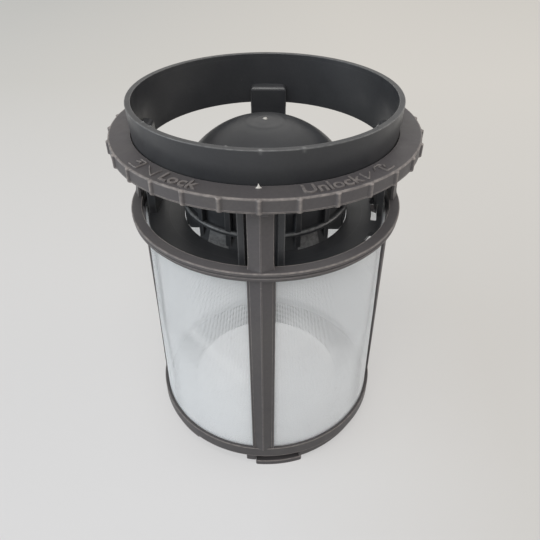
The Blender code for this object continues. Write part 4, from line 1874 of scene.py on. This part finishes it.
    def gate(self) -> Patch:
        """The pale gate mark at the pole, a low button.

        Returns:
            The patch.
        """
        size, rise = np.array(self.gate_size), np.array(self.gate_rise)
        turn = np.linspace(0.0, 2.0 * math.pi, self.gate_points, endpoint=False)
        sections = size[:, None, None] * np.stack([np.cos(turn), np.sin(turn)], axis=-1)[None]
        heights = self.dome_centre + self.dome_sphere - self.gate_sink + rise
        return upright(sections, heights, np.full(self.gate_points, self.gate_wear))


@dataclass
class CoarseInsert:
    """The lift-out insert: collar, legs, plate, cage and dome."""

    collar: Collar = field(default_factory=Collar)
    legs: CarrierLegs = field(default_factory=CarrierLegs)
    cage: StrainerCage = field(default_factory=StrainerCage)

    def build(self, parts: PartsBin) -> None:
        """Make every piece of the insert.

        Args:
            parts: Where pieces are made.
        """
        slit = self.legs.slit()
        parts.piece("lift_collar", [self.collar.turned_wall()], INSERT_PLASTIC, *ON_INSERT)
        legs = parts.piece("carrier_legs", on_four_sides(self.legs.channel()), INSERT_PLASTIC, *ON_INSERT)
        parts.cut(legs, [slit])
        parts.piece("leg_heads", on_four_sides(self.legs.head()), INSERT_PLASTIC, *ON_INSERT)
        plate = parts.piece("strainer_plate", [self.cage.plate()], INSERT_PLASTIC, *ON_INSERT)
        parts.cut(plate, [slit, *self.cage.notches()])
        parts.piece("cage_bars", self.cage.upright_bars(), INSERT_PLASTIC, *ON_INSERT)
        parts.piece("cage_hoop", [self.cage.hoop(), self.cage.brim()], INSERT_PLASTIC, *ON_INSERT)
        parts.piece("cage_screens", self.cage.screens(), INSERT_PLASTIC, *ON_INSERT)
        parts.piece("cage_dome", [self.cage.dome()], INSERT_PLASTIC, *ON_INSERT)
        parts.piece("dome_gate_mark", [self.cage.gate()], STRESSED_PLASTIC, *ON_INSERT)


# The studio.


@dataclass(frozen=True)
class Lamp:
    """A square soft lamp: its place and width in metres and its power in watts."""

    name: str
    place: Triple
    size: float
    power: float
    colour: Colour

    def hang(self, aim: Triple) -> None:
        """Make the lamp.

        Args:
            aim: The place that it faces, in metres.
        """
        light = bpy.data.lights.new(self.name, "AREA")
        light.shape = "SQUARE"
        light.size = self.size
        light.energy = self.power
        light.color = self.colour
        thing = bpy.data.objects.new(self.name, light)
        thing.location = self.place
        thing.rotation_mode = "QUATERNION"
        thing.rotation_quaternion = (Vector(self.place) - Vector(aim)).to_track_quat("Z", "Y")
        bpy.context.scene.collection.objects.link(thing)


@dataclass
class Studio:
    """The floor, the lights and the camera, whose place is in millimetres and the other lengths in metres."""

    floor_reach: float = 4.0
    floor_albedo: Colour = (224, 223, 220)
    # Painted light and shade on the floor: brighter near the left, painted shade near the right and at the
    # far left, warm light on the right.
    near_left: Colour = (217, 217, 219)
    near_right: Colour = (202, 199, 195)
    far_left: Colour = (199, 198, 194)
    far_right: Colour = (218, 213, 205)
    floor_paint: float = 0.67
    sky_colour: tuple[float, float, float, float] = (0.97, 0.985, 1.0, 1.0)
    sky_level: float = 0.34
    backdrop: Colour = (209, 207, 203)
    aim: Triple = (0, 0, 0.07)
    lamps: tuple[Lamp, ...] = (
        Lamp("ceiling", (-0.1, -0.7, 1.3), 0.9, 12.0, (1.0, 0.985, 0.97)),
        Lamp("ceiling_behind", (0.1, 0.9, 1.0), 0.8, 0.9, (1.0, 0.985, 0.96)),
        Lamp("window_left", (-1.25, -0.35, 0.45), 0.8, 7.0, (0.84, 0.93, 1.0)),
        Lamp("wall_right", (1.35, 0.1, 0.4), 0.8, 4.6, (1.0, 0.93, 0.86)),
    )
    camera_place: Triple = (5.3, -155.5, 182.35)
    pitch: float = 37.785
    yaw: float = -1.419
    roll: float = -0.051
    lens: float = 34.927
    sensor: float = 36.0
    nearest: float = 0.01

    def seen(self, nodes: bpy.types.Nodes, links: bpy.types.NodeLinks, level: float) -> Socket:
        """What the camera sees, also in gloss and through clear surfaces.

        Args:
            nodes: The nodes of a material or a world.
            links: Their links.
            level: The share that it gets.

        Returns:
            The level for such rays and zero for others.
        """
        path = nodes.new("ShaderNodeLightPath")
        total = path.outputs["Is Camera Ray"]
        for name in ("Is Glossy Ray", "Is Transmission Ray"):
            join = nodes.new("ShaderNodeMath")
            join.operation = "MAXIMUM"
            links.new(total, join.inputs[0])
            links.new(path.outputs[name], join.inputs[1])
            total = join.outputs["Value"]
        scale = nodes.new("ShaderNodeMath")
        scale.operation = "MULTIPLY"
        scale.inputs[1].default_value = level
        links.new(total, scale.inputs[0])
        return scale.outputs["Value"]

    def paint(self, bench: NodeBench) -> Socket:
        """The floor's colour, with painted light and shade: a little paler near the left, painted shade near
        the right and at the far left, and warmer on the right.

        Args:
            bench: The floor's material.

        Returns:
            The colour.
        """
        axes = bench.split(bench.place)
        across_near = bench.remap(axes["X"], 0.0, 0.1, 0.0, 1.0)
        near = bench.blend(across_near, srgb(*self.near_left), srgb(*self.near_right))
        across_far = bench.remap(axes["X"], -0.4, 0.1, 0.0, 1.0)
        far = bench.blend(across_far, srgb(*self.far_left), srgb(*self.far_right))
        return bench.blend(bench.remap(axes["Y"], -0.08, 0.4, 0.0, 1.0), near, far)

    def floor(self) -> None:
        """A wide pale floor, lit by the lamps and partly painted for the camera."""
        mesh = bpy.data.meshes.new("floor")
        reach = self.floor_reach
        corners = [(-reach, -reach, 0), (reach, -reach, 0), (reach, reach, 0), (-reach, reach, 0)]
        mesh.from_pydata(corners, [], [(0, 1, 2, 3)])
        bench = NodeBench("pale_floor")
        paint = self.paint(bench)
        bench.shader.inputs["Base Color"].default_value = srgb(*self.floor_albedo)
        bench.shader.inputs["Roughness"].default_value = 0.9
        bench.shader.inputs["Specular IOR Level"].default_value = 0.1
        painted = bench.add("ShaderNodeEmission")
        bench.join(paint, painted.inputs["Color"])
        share = self.seen(bench.nodes, bench.links, self.floor_paint)
        bench.finish(bench.cover(share, bench.shader.outputs["BSDF"], painted.outputs["Emission"]))
        mesh.materials.append(bench.material)
        floor = bpy.data.objects.new("floor", mesh)
        bpy.context.scene.collection.objects.link(floor)

    def sky(self) -> None:
        """An even pale sky that lights softly and shows pale behind the floor."""
        world = bpy.data.worlds.new("sky")
        world.use_nodes = True
        nodes, links = world.node_tree.nodes, world.node_tree.links
        light = nodes["Background"]
        light.inputs["Color"].default_value = self.sky_colour
        light.inputs["Strength"].default_value = self.sky_level
        backdrop = nodes.new("ShaderNodeBackground")
        backdrop.inputs["Color"].default_value = srgb(*self.backdrop)
        mix = nodes.new("ShaderNodeMixShader")
        links.new(self.seen(nodes, links, 1.0), mix.inputs["Fac"])
        links.new(light.outputs["Background"], mix.inputs[1])
        links.new(backdrop.outputs["Background"], mix.inputs[2])
        links.new(mix.outputs["Shader"], nodes["World Output"].inputs["Surface"])
        bpy.context.scene.world = world

    def camera(self) -> None:
        """The camera at the photograph's angle: yawed, tipped down and then rolled."""
        lens = bpy.data.cameras.new("camera")
        lens.sensor_width = self.sensor
        lens.lens = self.lens
        lens.clip_start = self.nearest
        thing = bpy.data.objects.new("camera", lens)
        pitch, yaw, roll = (math.radians(angle) for angle in (self.pitch, self.yaw, self.roll))
        ahead = Vector((math.sin(yaw) * math.cos(pitch), math.cos(yaw) * math.cos(pitch), -math.sin(pitch)))
        right = Vector((math.cos(yaw), -math.sin(yaw), 0.0))
        up = right.cross(ahead)
        across = right * math.cos(roll) + up * math.sin(roll)
        above = up * math.cos(roll) - right * math.sin(roll)
        turn = Matrix((across, above, -ahead)).transposed().to_4x4()
        thing.matrix_world = Matrix.Translation(Vector(self.camera_place) * MM) @ turn
        bpy.context.scene.collection.objects.link(thing)
        bpy.context.scene.camera = thing

    def build(self) -> None:
        """Set the stage."""
        self.floor()
        self.sky()
        for lamp in self.lamps:
            lamp.hang(self.aim)
        self.camera()
        bpy.context.scene.view_settings.view_transform = "Standard"


def main() -> None:
    """Build the filter and its studio, piece by piece."""
    logging.basicConfig(level=logging.INFO, format="%(name)s: %(message)s")
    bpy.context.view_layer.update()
    parts = PartsBin()
    for assembly in (GripFlange(), FramePosts(), FrameRings(), MeshSleeve(), CoarseInsert()):
        LOG.info("building %s", type(assembly).__name__)
        assembly.build(parts)
    Studio().build()
    bpy.context.view_layer.update()


if __name__ == "__main__":
    main()
